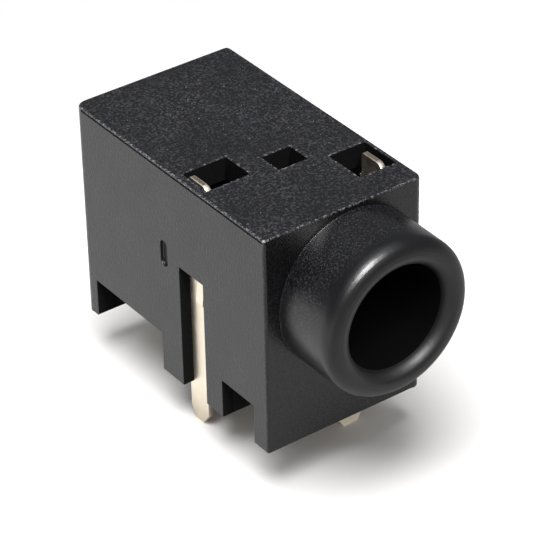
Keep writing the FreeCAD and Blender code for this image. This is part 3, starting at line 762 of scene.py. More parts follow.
def grained_black(name, settings):
    """Glass-filled black plastic from a spark-eroded mould.

    The eye sees a black that takes a grey veil from whatever it faces, broken up by a grain of
    less than a tenth of a millimetre whose tips are rubbed grey, denser in cloudy patches; on the
    front face and the inner walls that grey is kept to a trace, as painted shade. Flash and knocks
    have left light specks along the roof's left and front edges and round its windows; along the
    sharp roof edges the specks are also a painted highlight, and the corner nearest the eye has a
    painted highlight of its own.
    """
    material, tree = new_material(name)
    place = add_node(tree, "ShaderNodeTexCoord").outputs["Object"]
    parts = add_node(tree, "ShaderNodeSeparateXYZ", {0: place}).outputs
    # Real spark erosion is finer still: this is as fine as one pixel of the photograph can show
    long_way = add_node(tree, "ShaderNodeMapping", {"Vector": place, "Scale": (1, 1, 0.6)})
    fine = add_node(tree, "ShaderNodeTexNoise", {
        "Vector": long_way, "Scale": per_metre(0.075), "Detail": 2.0, "Roughness": 0.65})
    roof = add_node(tree, "ShaderNodeMapRange", {
        "Value": parts["Z"], "From Min": (TOP_Z - 0.06) * MM, "From Max": (TOP_Z - 0.02) * MM})
    veil = rubbed_and_shaded_tips(tree, place, fine, roof)
    light = add_node(tree, "ShaderNodeMath", {
        0: veil, 1: light_specks(tree, place, roof)}, operation="MAXIMUM")
    tint = add_node(tree, "ShaderNodeMix", {
        "Factor": light, "A": opaque(settings.plastic), "B": opaque(settings.scuff_and_edge_highlight)}, data_type="RGBA")
    # A painted highlight on the corner nearest the eye, light grey where a rounding would catch the lamp
    painted_corner_glint = near_boxes(tree, place, [
        ((-HALF_WIDTH - 1, -1, TOP_Z - 0.03), (0.06 - HALF_WIDTH, 0.06, TOP_Z + 1))], 0.03)
    tint = add_node(tree, "ShaderNodeMix", {
        "Factor": painted_corner_glint, "A": tint, "B": linear_colour("a6a6a8")}, data_type="RGBA")
    # The front face was stoned smoother than the rest, and mirrors the barrel's dark flank
    coarse = add_node(tree, "ShaderNodeMapRange", {
        "Value": parts["Y"], "From Min": 0.02 * MM, "From Max": 0.06 * MM, "To Min": 0.25, "To Max": 1.0})
    even = add_node(tree, "ShaderNodeMapRange", {"Value": coarse, "To Min": 0.55, "To Max": 1.0})
    dull = add_node(tree, "ShaderNodeMapRange", {
        "Value": fine, "From Min": 0.3, "From Max": 0.7, "To Min": 0.34, "To Max": 0.52})
    rough = add_node(tree, "ShaderNodeMath", {0: dull, 1: even}, operation="MULTIPLY")
    height = add_node(tree, "ShaderNodeMath", {0: fine, 1: coarse}, operation="MULTIPLY")
    bump = add_node(tree, "ShaderNodeBump", {"Height": height, "Strength": 1.0, "Distance": 0.02 * MM})
    end_in_shader(tree, {"Base Color": tint, "Roughness": rough, "IOR": 1.52, "Normal": bump})
    return material


def satin_barrel(name, settings):
    """The same black plastic from a turned and stoned core: satin, with faint orange peel.

    The eye sees soft, slightly wavy reflections of the floor and the lamps. The flank keeps some
    grain that sparkles where light grazes it; towards the rim the handling has polished it off.
    """
    material, tree = new_material(name)
    place = add_node(tree, "ShaderNodeTexCoord").outputs["Object"]
    peel = add_node(tree, "ShaderNodeTexNoise", {
        "Vector": place, "Scale": per_metre(0.3), "Detail": 2.0, "Roughness": 0.6})
    grain = add_node(tree, "ShaderNodeTexNoise", {
        "Vector": place, "Scale": per_metre(0.06), "Detail": 2.0, "Roughness": 0.65})
    along = add_node(tree, "ShaderNodeSeparateXYZ", {0: place}).outputs["Y"]
    flank = add_node(tree, "ShaderNodeMapRange", {
        "Value": along, "From Min": -1.95 * MM, "From Max": -1.5 * MM, "To Min": 0.12, "To Max": 1.0})
    raised = add_node(tree, "ShaderNodeMath", {0: grain, 1: flank}, operation="MULTIPLY")
    height = add_node(tree, "ShaderNodeMath", {0: raised, 1: peel}, operation="ADD")
    tips = add_node(tree, "ShaderNodeMapRange", {
        "Value": grain, "From Min": 0.50, "From Max": 0.70, "To Max": 0.16})
    light = add_node(tree, "ShaderNodeMath", {0: tips, 1: flank}, operation="MULTIPLY")
    tint = add_node(tree, "ShaderNodeMix", {
        "Factor": light, "A": opaque(settings.plastic), "B": opaque(settings.scuff_and_edge_highlight)}, data_type="RGBA")
    # Plugs have rubbed the lip of the bore duller than the rim
    middle = add_node(tree, "ShaderNodeVectorMath", {
        0: place, 1: (AXIS_X * MM, 0, AXIS_Z * MM)}, operation="SUBTRACT")
    middle = add_node(tree, "ShaderNodeVectorMath", {0: middle, 1: (1, 0, 1)}, operation="MULTIPLY")
    radius = add_node(tree, "ShaderNodeVectorMath", {0: middle}, operation="LENGTH")
    lip = add_node(tree, "ShaderNodeMapRange", {
        "Value": radius, "From Min": 2.0 * MM, "From Max": 2.3 * MM, "To Min": 0.5, "To Max": 0.0})
    rim = add_node(tree, "ShaderNodeMapRange", {
        "Value": flank, "From Min": 0.12, "From Max": 1.0, "To Min": 0.35, "To Max": 0.32})
    dull = add_node(tree, "ShaderNodeMath", {0: rim, 1: lip}, operation="MAXIMUM")
    bump = add_node(tree, "ShaderNodeBump", {"Height": height, "Strength": 1.0, "Distance": 0.006 * MM})
    end_in_shader(tree, {"Base Color": tint, "Roughness": dull, "IOR": 1.5, "Normal": bump})
    return material


def matt_black(name, tone, specular):
    """Black plastic where a core or a slide left it rough: the bore, the inner walls, the cover.

    The eye sees next to nothing: the wall scatters what little light reaches it. In the bore and on the
    inner walls the darker tone and the weak specular are painted shade.
    """
    material, tree = new_material(name)
    place = add_node(tree, "ShaderNodeTexCoord").outputs["Object"]
    grain = add_node(tree, "ShaderNodeTexNoise", {
        "Vector": place, "Scale": per_metre(0.1), "Detail": 2.0})
    dull = add_node(tree, "ShaderNodeMapRange", {
        "Value": grain, "From Min": 0.3, "From Max": 0.7, "To Min": 0.75, "To Max": 0.9})
    end_in_shader(tree, {"Base Color": linear_colour(tone), "Roughness": dull, "IOR": 1.5,
                         "Specular IOR Level": specular})
    return material


def gold_plate(name, settings, lean=0.0):
    """Brass strip, rolled, stamped and plated with a thin satin gold over nickel.

    The eye sees a pale champagne metal with faint rolling lines along the strip and small dull
    patches. The tabs' tops are bare and rough where the die tore the strip, and darker between
    their bright rounded borders, with that darkness painted in as shade. A strip that stands
    askew mirrors as if turned by lean, the tangent of an angle.
    """
    material, tree = new_material(name)
    place = add_node(tree, "ShaderNodeTexCoord").outputs["Object"]
    rolled = add_node(tree, "ShaderNodeMapping", {"Vector": place, "Scale": (1, 1, 0.12)})
    lines = add_node(tree, "ShaderNodeTexNoise", {
        "Vector": rolled, "Scale": per_metre(0.05), "Detail": 2.0})
    patches = add_node(tree, "ShaderNodeTexNoise", {
        "Vector": place, "Scale": per_metre(0.5), "Detail": 3.0})
    dull = add_node(tree, "ShaderNodeMapRange", {
        "Value": patches, "From Min": 0.3, "From Max": 0.7, "To Min": 0.3, "To Max": 0.4})
    shade = add_node(tree, "ShaderNodeMapRange", {
        "Value": patches, "From Min": 0.3, "From Max": 0.7, "To Min": 0.9, "To Max": 1.0})
    plated = add_node(tree, "ShaderNodeMix", {
        "Factor": 1.0, "A": opaque(settings.gold), "B": shade}, data_type="RGBA", blend_type="MULTIPLY")
    # The tabs' torn tops: bare, rough brass, painted darker as shade between their bright borders
    cut = near_boxes(tree, place, CUT_TOPS, 0.015)
    torn = add_node(tree, "ShaderNodeTexNoise", {
        "Vector": place, "Scale": per_metre(0.09), "Detail": 2.0, "Roughness": 0.7})
    ragged = add_node(tree, "ShaderNodeMapRange", {
        "Value": torn, "From Min": 0.35, "From Max": 0.6, "To Min": 1.0, "To Max": 0.85})
    bare = add_node(tree, "ShaderNodeMath", {0: cut, 1: ragged}, operation="MULTIPLY")
    tint = add_node(tree, "ShaderNodeMix", {
        "Factor": bare, "A": plated, "B": opaque(settings.sheared_and_shaded)}, data_type="RGBA")
    rough = add_node(tree, "ShaderNodeMix", {"Factor": bare, "A": dull, "B": 0.8})
    relief = add_node(tree, "ShaderNodeMix", {"Factor": cut, "A": lines, "B": torn})
    along = add_node(tree, "ShaderNodeSeparateXYZ", {0: place}).outputs["Y"]
    leaning = add_node(tree, "ShaderNodeBump", {"Height": along, "Strength": 1.0, "Distance": lean})
    bump = add_node(tree, "ShaderNodeBump", {
        "Height": relief, "Strength": 0.7, "Distance": 0.003 * MM, "Normal": leaning})
    end_in_shader(tree, {"Base Color": tint, "Roughness": rough, "Metallic": 1.0, "Normal": bump})
    return material


def material_once(name, maker, *arguments):
    """A material by name, made the first time that a piece asks for it."""
    return bpy.data.materials.get(name) or maker(name, *arguments)


def seat_piece(piece, body, node, slot, *materials):
    """Give a piece its materials, and let it ride on its body in place of its frame node."""
    for material in materials:
        piece.data.materials.append(material)
    if body:
        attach(piece, body)
    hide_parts(node)
    return piece


def housing_boxes(settings):
    """The moulding's body as boxes of plastic (True) and air (False), laid over each other."""
    left = HOUSING_LOW[0]
    cover_top = SPAN["bottom_cover"][1][2]
    groove = left + settings.parting_depth / MM
    groove_start = settings.front_round / MM + 0.005
    groove_end = BACK_Y - settings.left_back_round / MM
    boxes = [
        (True, (left, 0.0, 0.0), HOUSING_HIGH),
        (False, (-FAR, END_FOOT, -FAR), (FAR, MIDDLE_FOOT_START, FOOT_HEIGHT)),
        (False, (-FAR, MIDDLE_FOOT_END, -FAR), (FAR, BACK_Y - END_FOOT, FOOT_HEIGHT)),
        (False, (-INNER_X, END_WALL, -FAR), (INNER_X, BACK_Y - END_WALL, TOP_Z - ROOF_WALL)),
        (False, (-INNER_X, END_FOOT, -FAR), (INNER_X, BACK_Y - END_FOOT, cover_top)),
        (False, (-FAR, SLOT_START, -FAR), (-INNER_X, SLOT_END, SLOT_TOP)),
        (False, (AXIS_X - BORE_SQUARE, -FAR, AXIS_Z - BORE_SQUARE),
         (AXIS_X + BORE_SQUARE, END_WALL, AXIS_Z + BORE_SQUARE)),
        (False, (-FAR, groove_start, PARTING_LOW), (groove, groove_end, PARTING_HIGH)),
    ]
    boxes += [(False, (*near, TOP_Z - ROOF_WALL), (*away, FAR)) for near, away in WINDOWS]
    # Solid where the round hole and the dimple are sunk in afterwards
    boxes.append((True, (AXIS_X - RELIEF_SQUARE, BACK_Y - END_WALL, AXIS_Z - RELIEF_SQUARE),
                  (AXIS_X + RELIEF_SQUARE, BACK_Y, AXIS_Z + RELIEF_SQUARE)))
    boxes.append((True, (left, *(DIMPLE - DIMPLE_SQUARE)), (-INNER_X, *(DIMPLE + DIMPLE_SQUARE))))
    return boxes


def oval_rings(middle, half_width, half_height, shares, count=28):
    """Rings of an oval slot shape: a half circle at each end, each ring scaled by its share."""
    turn = np.linspace(0, 2 * math.pi, count, endpoint=False)
    straight = half_height - half_width
    ring = np.stack([half_width * np.cos(turn),
                     half_width * np.sin(turn) + straight * np.sign(np.round(np.sin(turn), 6))], axis=1)
    return [np.array(middle) + ring * share for share in shares]


def circle_ring(middle, radius, count=96):
    """Points of a circle."""
    turn = np.linspace(0, 2 * math.pi, count, endpoint=False)
    return np.array(middle) + radius * np.stack([np.cos(turn), np.sin(turn)], axis=1)


class SOCKET_OT_housing(bpy.types.Operator):
    """Make the moulding's body with its feet, windows, side slot, dimple and back opening"""
    bl_idname = "socket.housing"
    bl_label = "Housing body"

    def execute(self, context):
        settings = context.scene.socket_moulding
        corners = [(HALF_WIDTH, 0.0, settings.right_front_round / MM),
                   (HOUSING_LOW[0], BACK_Y, settings.left_back_round / MM),
                   (HALF_WIDTH, BACK_Y, settings.right_back_round / MM)]
        roof = settings.far_round / MM
        cells = cell_block(housing_boxes(settings), corner_planes(corners, roof))
        quads = round_corners(block_shell(*cells), corners)
        quads = round_roof(quads, corners, roof)
        quads, relief = self.relief_hole(quads)
        quads, dimple = self.dimple(quads, settings.dimple_depth / MM)
        mesh = face_mesh("housing_body", quads, *relief, *dimple)
        piece = new_object("housing_body", mesh)
        round_block_edges(piece, self.edge_radii(mesh, settings, corners))
        grained = material_once("spark_eroded_black_plastic", grained_black, settings)
        cored = material_once("matt_black_inner_walls_painted_shade", matt_black, "060607", 0.12)
        seat_piece(piece, "socket_body", "housing", "black_moulding", grained, cored)
        # Faces deep inside the moulding take the darker, duller black: painted shade
        inner = self.deepest(mesh) > SKIN_DEPTH
        mesh.polygons.foreach_set("material_index", inner.astype(int))
        return {"FINISHED"}

    def relief_hole(self, quads):
        """The round hole through the back wall, which leaves room for the plug's end."""
        # The second and third axes of a wall across Y are Z and X
        centre = np.array((AXIS_Z, AXIS_X))
        square = (centre - RELIEF_SQUARE, centre + RELIEF_SQUARE)
        ring = circle_ring(centre, RELIEF_RADIUS)
        quads, outer, tube = hole_patch(quads, 1, BACK_Y, *square, [ring, ring], [0.0, END_WALL])
        quads, inner, _ = hole_patch(quads, 1, BACK_Y - END_WALL, *square, [ring], [0.0])
        return quads, (outer, tube, inner)

    def dimple(self, quads, depth):
        """The oval dimple in the left side, with steep sides and a nearly flat bottom."""
        ovals = oval_rings(DIMPLE, DIMPLE_HALF_WIDTH, DIMPLE_HALF_HEIGHT, (1.0, 0.97, 0.85, 0.6))
        depths = (0.0, 0.8 * depth, 0.97 * depth, depth)
        quads, side, bowl = hole_patch(quads, 0, HOUSING_LOW[0], DIMPLE - DIMPLE_SQUARE,
                                       DIMPLE + DIMPLE_SQUARE, ovals, depths)
        bottom = np.full((1, len(ovals[-1]), 3), HOUSING_LOW[0] + depth)
        bottom[0, :, 1:] = ovals[-1][::-1]
        return quads, (side, bowl, bottom)

    def deepest(self, mesh):
        """How far each face's deepest corner lies inside the moulding's box, in millimetres."""
        points = item_values(mesh.vertices, "co", 3) / MM
        # The body is open below, so how near the board a corner lies doesn't count
        depth = np.minimum(points - (HOUSING_LOW[0], 0.0, -FAR), HOUSING_HIGH - points).min(1)
        corner = item_values(mesh.loops, "vertex_index", kind=int)
        start = item_values(mesh.polygons, "loop_start", kind=int)
        return np.maximum.reduceat(depth[corner], start)

    def edge_radii(self, mesh, settings, corners):
        """The rounding of each edge in millimetres, by where the edge lies."""
        ends, folded, _ = edge_facts(mesh)
        middle = ends.mean(1)
        plain = settings.edge_round / MM

        def in_plane(axis, place):
            """Which edges lie in a plane across one axis."""
            return (np.abs(ends[..., axis] - place) < TINY).all(1)

        # Edges of the outside are rounded a little, but the roof's outline stays sharp
        outside = np.zeros(ends.shape[:2], bool)
        for axis, place in ((0, -HALF_WIDTH), (0, HALF_WIDTH), (1, 0.0), (1, BACK_Y), (2, 0.0), (2, TOP_Z)):
            outside |= np.abs(ends[..., axis] - place) < TINY
        outside = outside.all(1)
        radii = np.where(outside, plain, 0.0)
        on_roof = in_plane(2, TOP_Z)
        radii[on_roof] = 0.0
        upright = (np.ptp(ends[..., :2], axis=1) < TINY).all(1)
        radii[upright & in_plane(0, -HALF_WIDTH) & in_plane(1, 0.0)] = settings.front_round / MM
        # The outer feet: rounded towards the middle, sharp along the back wall
        on_board = in_plane(2, 0.0)
        radii[on_board & in_plane(1, BACK_Y)] = 0.0
        for place in (END_FOOT, BACK_Y - END_FOOT):
            radii[on_board & in_plane(1, place)] = settings.foot_round / MM
        # The windows: their upright corners, and their rims on the roof
        between_ends = (middle[:, 1] >= 0.5) & (middle[:, 1] <= BACK_Y - 0.5)
        in_roof = ends[..., 2].min(1) > TOP_Z - ROOF_WALL - TINY
        radii[upright & in_roof & ~outside & between_ends] = settings.window_round / MM
        inland = (np.abs(middle[:, 0]) < HALF_WIDTH - 0.1) & (middle[:, 1] > 0.1)
        radii[on_roof & inland & (middle[:, 1] < BACK_Y - 0.1)] = plain / 2
        # The dimple's rim, the bore's hidden square and the groove
        in_dimple = (np.abs(ends[..., 1:] - DIMPLE).max(1) < DIMPLE_SQUARE + TINY).all(1)
        radii[in_dimple & in_plane(0, -HALF_WIDTH)] = DIMPLE_EDGE
        in_bore = (np.abs(ends[..., [0, 2]] - (AXIS_X, AXIS_Z)).max(1) < BORE_SQUARE + TINY).all(1)
        radii[in_bore & in_plane(1, 0.0)] = 0.0
        in_groove = (ends[..., 2] > PARTING_LOW - TINY) & (ends[..., 2] < PARTING_HIGH + TINY)
        radii[in_groove.all(1)] = 0.0
        # The edges round the bent corners are too short to take a rounding of their own
        for x, y, radius in corners:
            outward, centre = corner_frame(x, y, radius)
            radii[((ends[..., :2] - centre) * outward > -TINY).all((1, 2))] = 0.0
        radii[folded < EDGE_FOLD] = 0.0
        return radii


class SOCKET_OT_barrel(bpy.types.Operator):
    """Make the barrel with its root collar, rounded rim, bore and rounded lip"""
    bl_idname = "socket.barrel"
    bl_label = "Barrel"

    def execute(self, context):
        settings = context.scene.socket_barrel
        mouth = HOUSING_LOW[1]
        lip = settings.lip_round / MM
        collar = settings.collar_length / MM
        front = BARREL_RADIUS - settings.draft / MM
        root = BARREL_RADIUS + settings.collar_height / MM
        # Behind the front wall's face the barrel goes on, a little thinner, through the wall
        sunk = BARREL_RADIUS - 0.06
        inside = END_WALL + 0.005
        corners = [(inside, sunk), (0.02, sunk), (0.02, root), (-collar, root), (-collar, BARREL_RADIUS),
                   (mouth, front), (mouth, BORE_RADIUS), (inside, BORE_RADIUS)]
        radii = [0.02, 0.0, 0.0, 0.01, 0.01, settings.rim_round / MM, lip, 0.04]
        profile = spaced_ring(rounded_path(corners, radii), 0.12)
        piece = grid_piece("housing_barrel", [(turned_surface(profile), True)])
        moulding = context.scene.socket_moulding
        satin = material_once("satin_black_plastic", satin_barrel, moulding)
        bore = material_once("matt_black_bore_painted_shade", matt_black, "040405", 0.05)
        seat_piece(piece, "socket_body", "housing", "black_moulding", satin, bore)
        x, y, z = item_values(piece.data.polygons, "center", 3).T / MM
        # The bore takes the darker, duller black: painted shade
        in_bore = (np.hypot(x - AXIS_X, z - AXIS_Z) < BORE_RADIUS + 0.02) & (y > mouth + lip)
        piece.data.polygons.foreach_set("material_index", in_bore.astype(int))
        return {"FINISHED"}


class SOCKET_OT_cover(bpy.types.Operator):
    """Make the bottom cover with its middle foot and the passages for the legs"""
    bl_idname = "socket.cover"
    bl_label = "Bottom cover"

    def execute(self, context):
        low, high = SPAN["bottom_cover"]
        # Just clear of the side walls, so that the two surfaces don't fight
        side = INNER_X - 0.005
        middle_foot_top = FOOT_HEIGHT + 0.1
        boxes = [
            (True, (-side, low[1], FOOT_HEIGHT), (side, high[1], high[2])),
            (True, (-side, MIDDLE_FOOT_START, 0.0), (side, MIDDLE_FOOT_END, middle_foot_top)),
        ]
        boxes += [(False, *passage) for passage in self.passages()]
        mesh = face_mesh("bottom_cover_moulding", block_shell(*cell_block(boxes)))
        piece = new_object("bottom_cover_moulding", mesh)
        ends, folded, _ = edge_facts(mesh)
        edge = 0.03
        radii = np.where(folded > EDGE_FOLD, edge, 0.0)
        radii[(np.abs(np.abs(ends[..., 0]) - side) < TINY).all(1)] = 0.0
        round_block_edges(piece, radii)
        cored = material_once("matt_black_cover", matt_black, "08080a", 0.2)
        seat_piece(piece, "socket_body", "bottom_cover", "black_moulding", cored)
        return {"FINISHED"}

    def passages(self):
        """The boxes of air round the legs, through the cover. Those beside a wall are open to it."""
        gap = LEG_GAP
        tip_back = SPAN["tip_terminal"][1][1]
        tip_side = STRIP + WALL_GAP - INNER_X
        ring_side = SPAN["ring_terminal"][0][0]
        sleeve_low, sleeve_high = SPAN["sleeve_terminal"]
        boxes = [
            ((-FAR, tip_back - BARB_REACH - LEG_WIDTH, -FAR), (tip_side + gap, tip_back + gap, FAR)),
            ((ring_side - gap, MIDDLE_FOOT_START - gap, -FAR),
             (FAR, MIDDLE_FOOT_START + LEG_WIDTH + gap, FAR)),
            ((SLEEVE_LEG_X - gap, sleeve_low[1] - gap, -FAR),
             (sleeve_high[0] + gap, sleeve_low[1] + STRIP + gap, FAR)),
        ]
        for node, by_wall in (("ring_break_terminal", True), ("tip_break_terminal", False)):
            low, high = SPAN[node]
            boxes.append(((high[0] - STRIP - gap, low[1] - gap, -FAR),
                          (FAR if by_wall else high[0] + gap, high[1] + gap, FAR)))
        return boxes


def leg_end(start, end, bottom):
    """The corners of a leg's pointed end, from its front edge round to its back edge."""
    return [(start, bottom + LEG_TAPER), (start + LEG_FRONT, bottom), (end - LEG_BACK, bottom),
            (end, bottom + LEG_TAPER)]


def plate_top(node, start, end):
    """The corners of a plate's upper end, which carries the tab: from its back edge to its front."""
    shoulder = TOP_Z - ROOF_WALL - WALL_GAP
    top = SPAN[node][1][2]
    front = start + TAB_SHIFT[node]
    back = front + TAB_LENGTH[node]
    return [(end, shoulder), (back, shoulder), (back, top), (front, top), (front, shoulder),
            (start, shoulder)]


class SOCKET_OT_terminals(bpy.types.Operator):
    """Make the three terminals and the two break contacts from stamped strip"""
    bl_idname = "socket.terminals"
    bl_label = "Terminals"

    def execute(self, context):
        settings = context.scene.socket_contacts
        edge = settings.shear_round / MM
        bend = settings.bend_round / MM + STRIP / 2
        gold = material_once("satin_gold_plated_brass", gold_plate, settings)
        # The tip's plate stands a little askew in its slot, so that it mirrors the open side
        lean = math.tan(math.radians(8))
        askew = material_once("satin_gold_plated_brass_askew", gold_plate, settings, lean)
        made = {
            "tip_terminal": (self.tip(edge), askew),
            "ring_terminal": (self.ring(edge), gold),
            "sleeve_terminal": (self.sleeve(edge), gold),
            "tip_break_terminal": (self.bracket("tip_break_terminal", edge, bend), gold),
            "ring_break_terminal": (self.bracket("ring_break_terminal", edge, bend), gold),
        }
        for node, (grids, material) in made.items():
            piece = grid_piece(node + "_strip", [(grid, False) for grid in grids])
            seat_piece(piece, "socket_body", node, "gold_plated_strip", material)
        return {"FINISHED"}

    def tip(self, edge):
        """The tip plate seen from the side: tab, plate, barb and leg, and its lance as a tongue."""
        low = SPAN["tip_terminal"][0]
        start, end = low[1], low[1] + PLATE_WIDTH["tip_terminal"]
        leg = end - LEG_WIDTH
        # A small barb on the leg's back edge, just above the board
        barb = [(end, 0.1), (end + BARB_REACH, 0.16), (end, 0.34)]
        corners = [(start, PLATE_BASE), (leg, PLATE_BASE), *leg_end(leg, end, low[2]), *barb,
                   *plate_top("tip_terminal", start, end)]
        radii = [0.05, 0.08, 0.04, 0.06, 0.06, 0.04, 0.0, 0.03, 0.0, 0.03, 0.03, 0.12, 0.34, 0.0, 0.0]
        outer = -INNER_X - 0.01
        plate = stamped_blank(rounded_path(corners, radii), outer, outer + STRIP, edge, (1, 2, 0))
        lance_top, lance_bend, lance_foot = 4.45, 3.42, 3.35
        lance_front, lance_back = 3.72, 4.12
        proud = outer - 0.02
        tongue = rounded_path([(outer + 0.1, lance_top), (proud, lance_bend), (proud, lance_foot)],
                              0.1, closed=False)
        lance = carried_strip(spaced(tongue, 0.1), (0, 2), 1, lance_front, lance_back, edge)
        return [plate, lance]

    def ring(self, edge):
        """The ring plate seen from the side: tab, plate, lower step and leg."""
        low, high = SPAN["ring_terminal"]
        start, end = low[1], low[1] + PLATE_WIDTH["ring_terminal"]
        leg = high[1] - LEG_WIDTH
        step = 3.6
        corners = [(start, PLATE_BASE), (leg, PLATE_BASE), *leg_end(leg, high[1], low[2]),
                   (high[1], step), (end, step), *plate_top("ring_terminal", start, end)]
        radii = [0.05, 0.02, 0.04, 0.06, 0.06, 0.04, 0.08, 0.08, 0.03, 0.03, 0.12, 0.32, 0.0, 0.0]
        inner = INNER_X - WALL_GAP - STRIP
        return [stamped_blank(rounded_path(corners, radii), inner, inner + STRIP, edge, (1, 2, 0))]

    def sleeve(self, edge):
        """The sleeve's leg, sunk half a strip into the flat base that it hangs from."""
        low, high = SPAN["sleeve_terminal"]
        top = high[2] - STRIP / 2
        corners = [(SLEEVE_LEG_X, top), *leg_end(SLEEVE_LEG_X, high[0], low[2]), (high[0], top)]
        leg = stamped_blank(rounded_path(corners, 0.05), low[1], low[1] + STRIP, edge, (0, 2, 1))
        base = np.array([(low[0], low[1]), (high[0], low[1]), (high[0], high[1]), (low[0], high[1])])
        plate = stamped_blank(rounded_path(base, 0.05), high[2] - STRIP, high[2], edge, (0, 1, 2))
        return [leg, plate]

    def bracket(self, node, edge, bend):
        """A break contact: a strip carried up its leg, along its shelf and up its pad."""
        low, high = SPAN[node]
        leg_x = high[0] - STRIP / 2
        pad_x = low[0] + STRIP / 2
        shelf_z = PLATE_BASE + STRIP / 2
        corners = [(leg_x, low[2]), (leg_x, shelf_z), (pad_x, shelf_z), (pad_x, high[2])]
        path = spaced(rounded_path(corners, bend, closed=False), STRIP_STEP)
        # At the leg's end both its sides draw in, as a plate's leg does
        taper = np.clip((low[2] + LEG_TAPER - path[:, 1]) / LEG_TAPER, 0, 1)
        near, away = low[1] + LEG_FRONT * taper, high[1] - LEG_BACK * taper
        return [carried_strip(path, (0, 2), 1, near, away, edge)]


class SOCKET_OT_arms(bpy.types.Operator):
    """Make the three contact arms"""
    bl_idname = "socket.arms"
    bl_label = "Contact arms"

    def execute(self, context):
        settings = context.scene.socket_contacts
        edge = settings.shear_round / MM
        gold = material_once("satin_gold_plated_brass", gold_plate, settings)
        self.side_arm("tip_spring", "tip_arm", -1, edge, gold)
        self.side_arm("ring_spring", "ring_arm", 1, edge, gold)
        self.finger(edge, gold)
        return {"FINISHED"}

    def side_arm(self, node, body, side, edge, gold):
        """An arm seen from above: from its root in to the rolled bend, then out to a flared end."""
        low, high = SPAN[node]
        root_x = side * (INNER_X - WALL_GAP - STRIP / 2)
        crown = high[0] if side < 0 else low[0]
        bend_x = crown + side * STRIP / 2
        bend_y = high[1] - 0.55
        corners = [(root_x, low[1] - 0.06), (root_x, low[1] + 0.25), (bend_x, bend_y),
                   (bend_x + side * 0.3, high[1])]
        path = spaced(rounded_path(corners, [0, 1.0, 0.35, 0], closed=False), STRIP_STEP)
        # Behind this place the arm grows down to its full width, along a smooth step
        widening = bend_y - 0.95
        narrow = AXIS_Z - 0.8
        step = np.clip((path[:, 1] - widening + 0.1) / 0.2, 0, 1)
        bottom = narrow + (low[2] - narrow) * step * step * (3 - 2 * step)

        def dome(points, places):
            """A pressed pip at the bend, which touches the plug: a bell-shaped bump."""
            away = ((points[:, 1:] - bend_y) / 0.3) ** 2 + ((places - AXIS_Z) / 0.35) ** 2
            return side * 0.05 * np.exp(-away)

        grid = carried_strip(path, (0, 1), 2, bottom, high[2], edge, dome)
        piece = grid_piece(node + "_arm", [(grid, False)])
        seat_piece(piece, None, node, "gold_plated_strip", gold)
        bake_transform(piece)

    def finger(self, edge, gold):
        """The sleeve finger seen from the side: up from its base to its bend, then down."""
        low, high = SPAN["sleeve_spring"]
        base_z = low[2] + STRIP / 2
        top_z = high[2] - STRIP / 2 + 0.03
        corners = [(low[1] - 0.06, base_z), (low[1] + 0.2, base_z), (high[1] - 0.6, top_z),
                   (high[1], top_z - 0.35)]
        path = spaced(rounded_path(corners, [0, 0.8, 0.35, 0], closed=False), STRIP_STEP)
        grid = carried_strip(path, (1, 2), 0, low[0], high[0], edge)
        piece = grid_piece("sleeve_spring_finger", [(grid, False)])
        seat_piece(piece, None, "sleeve_spring", "gold_plated_strip", gold)
        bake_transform(piece)


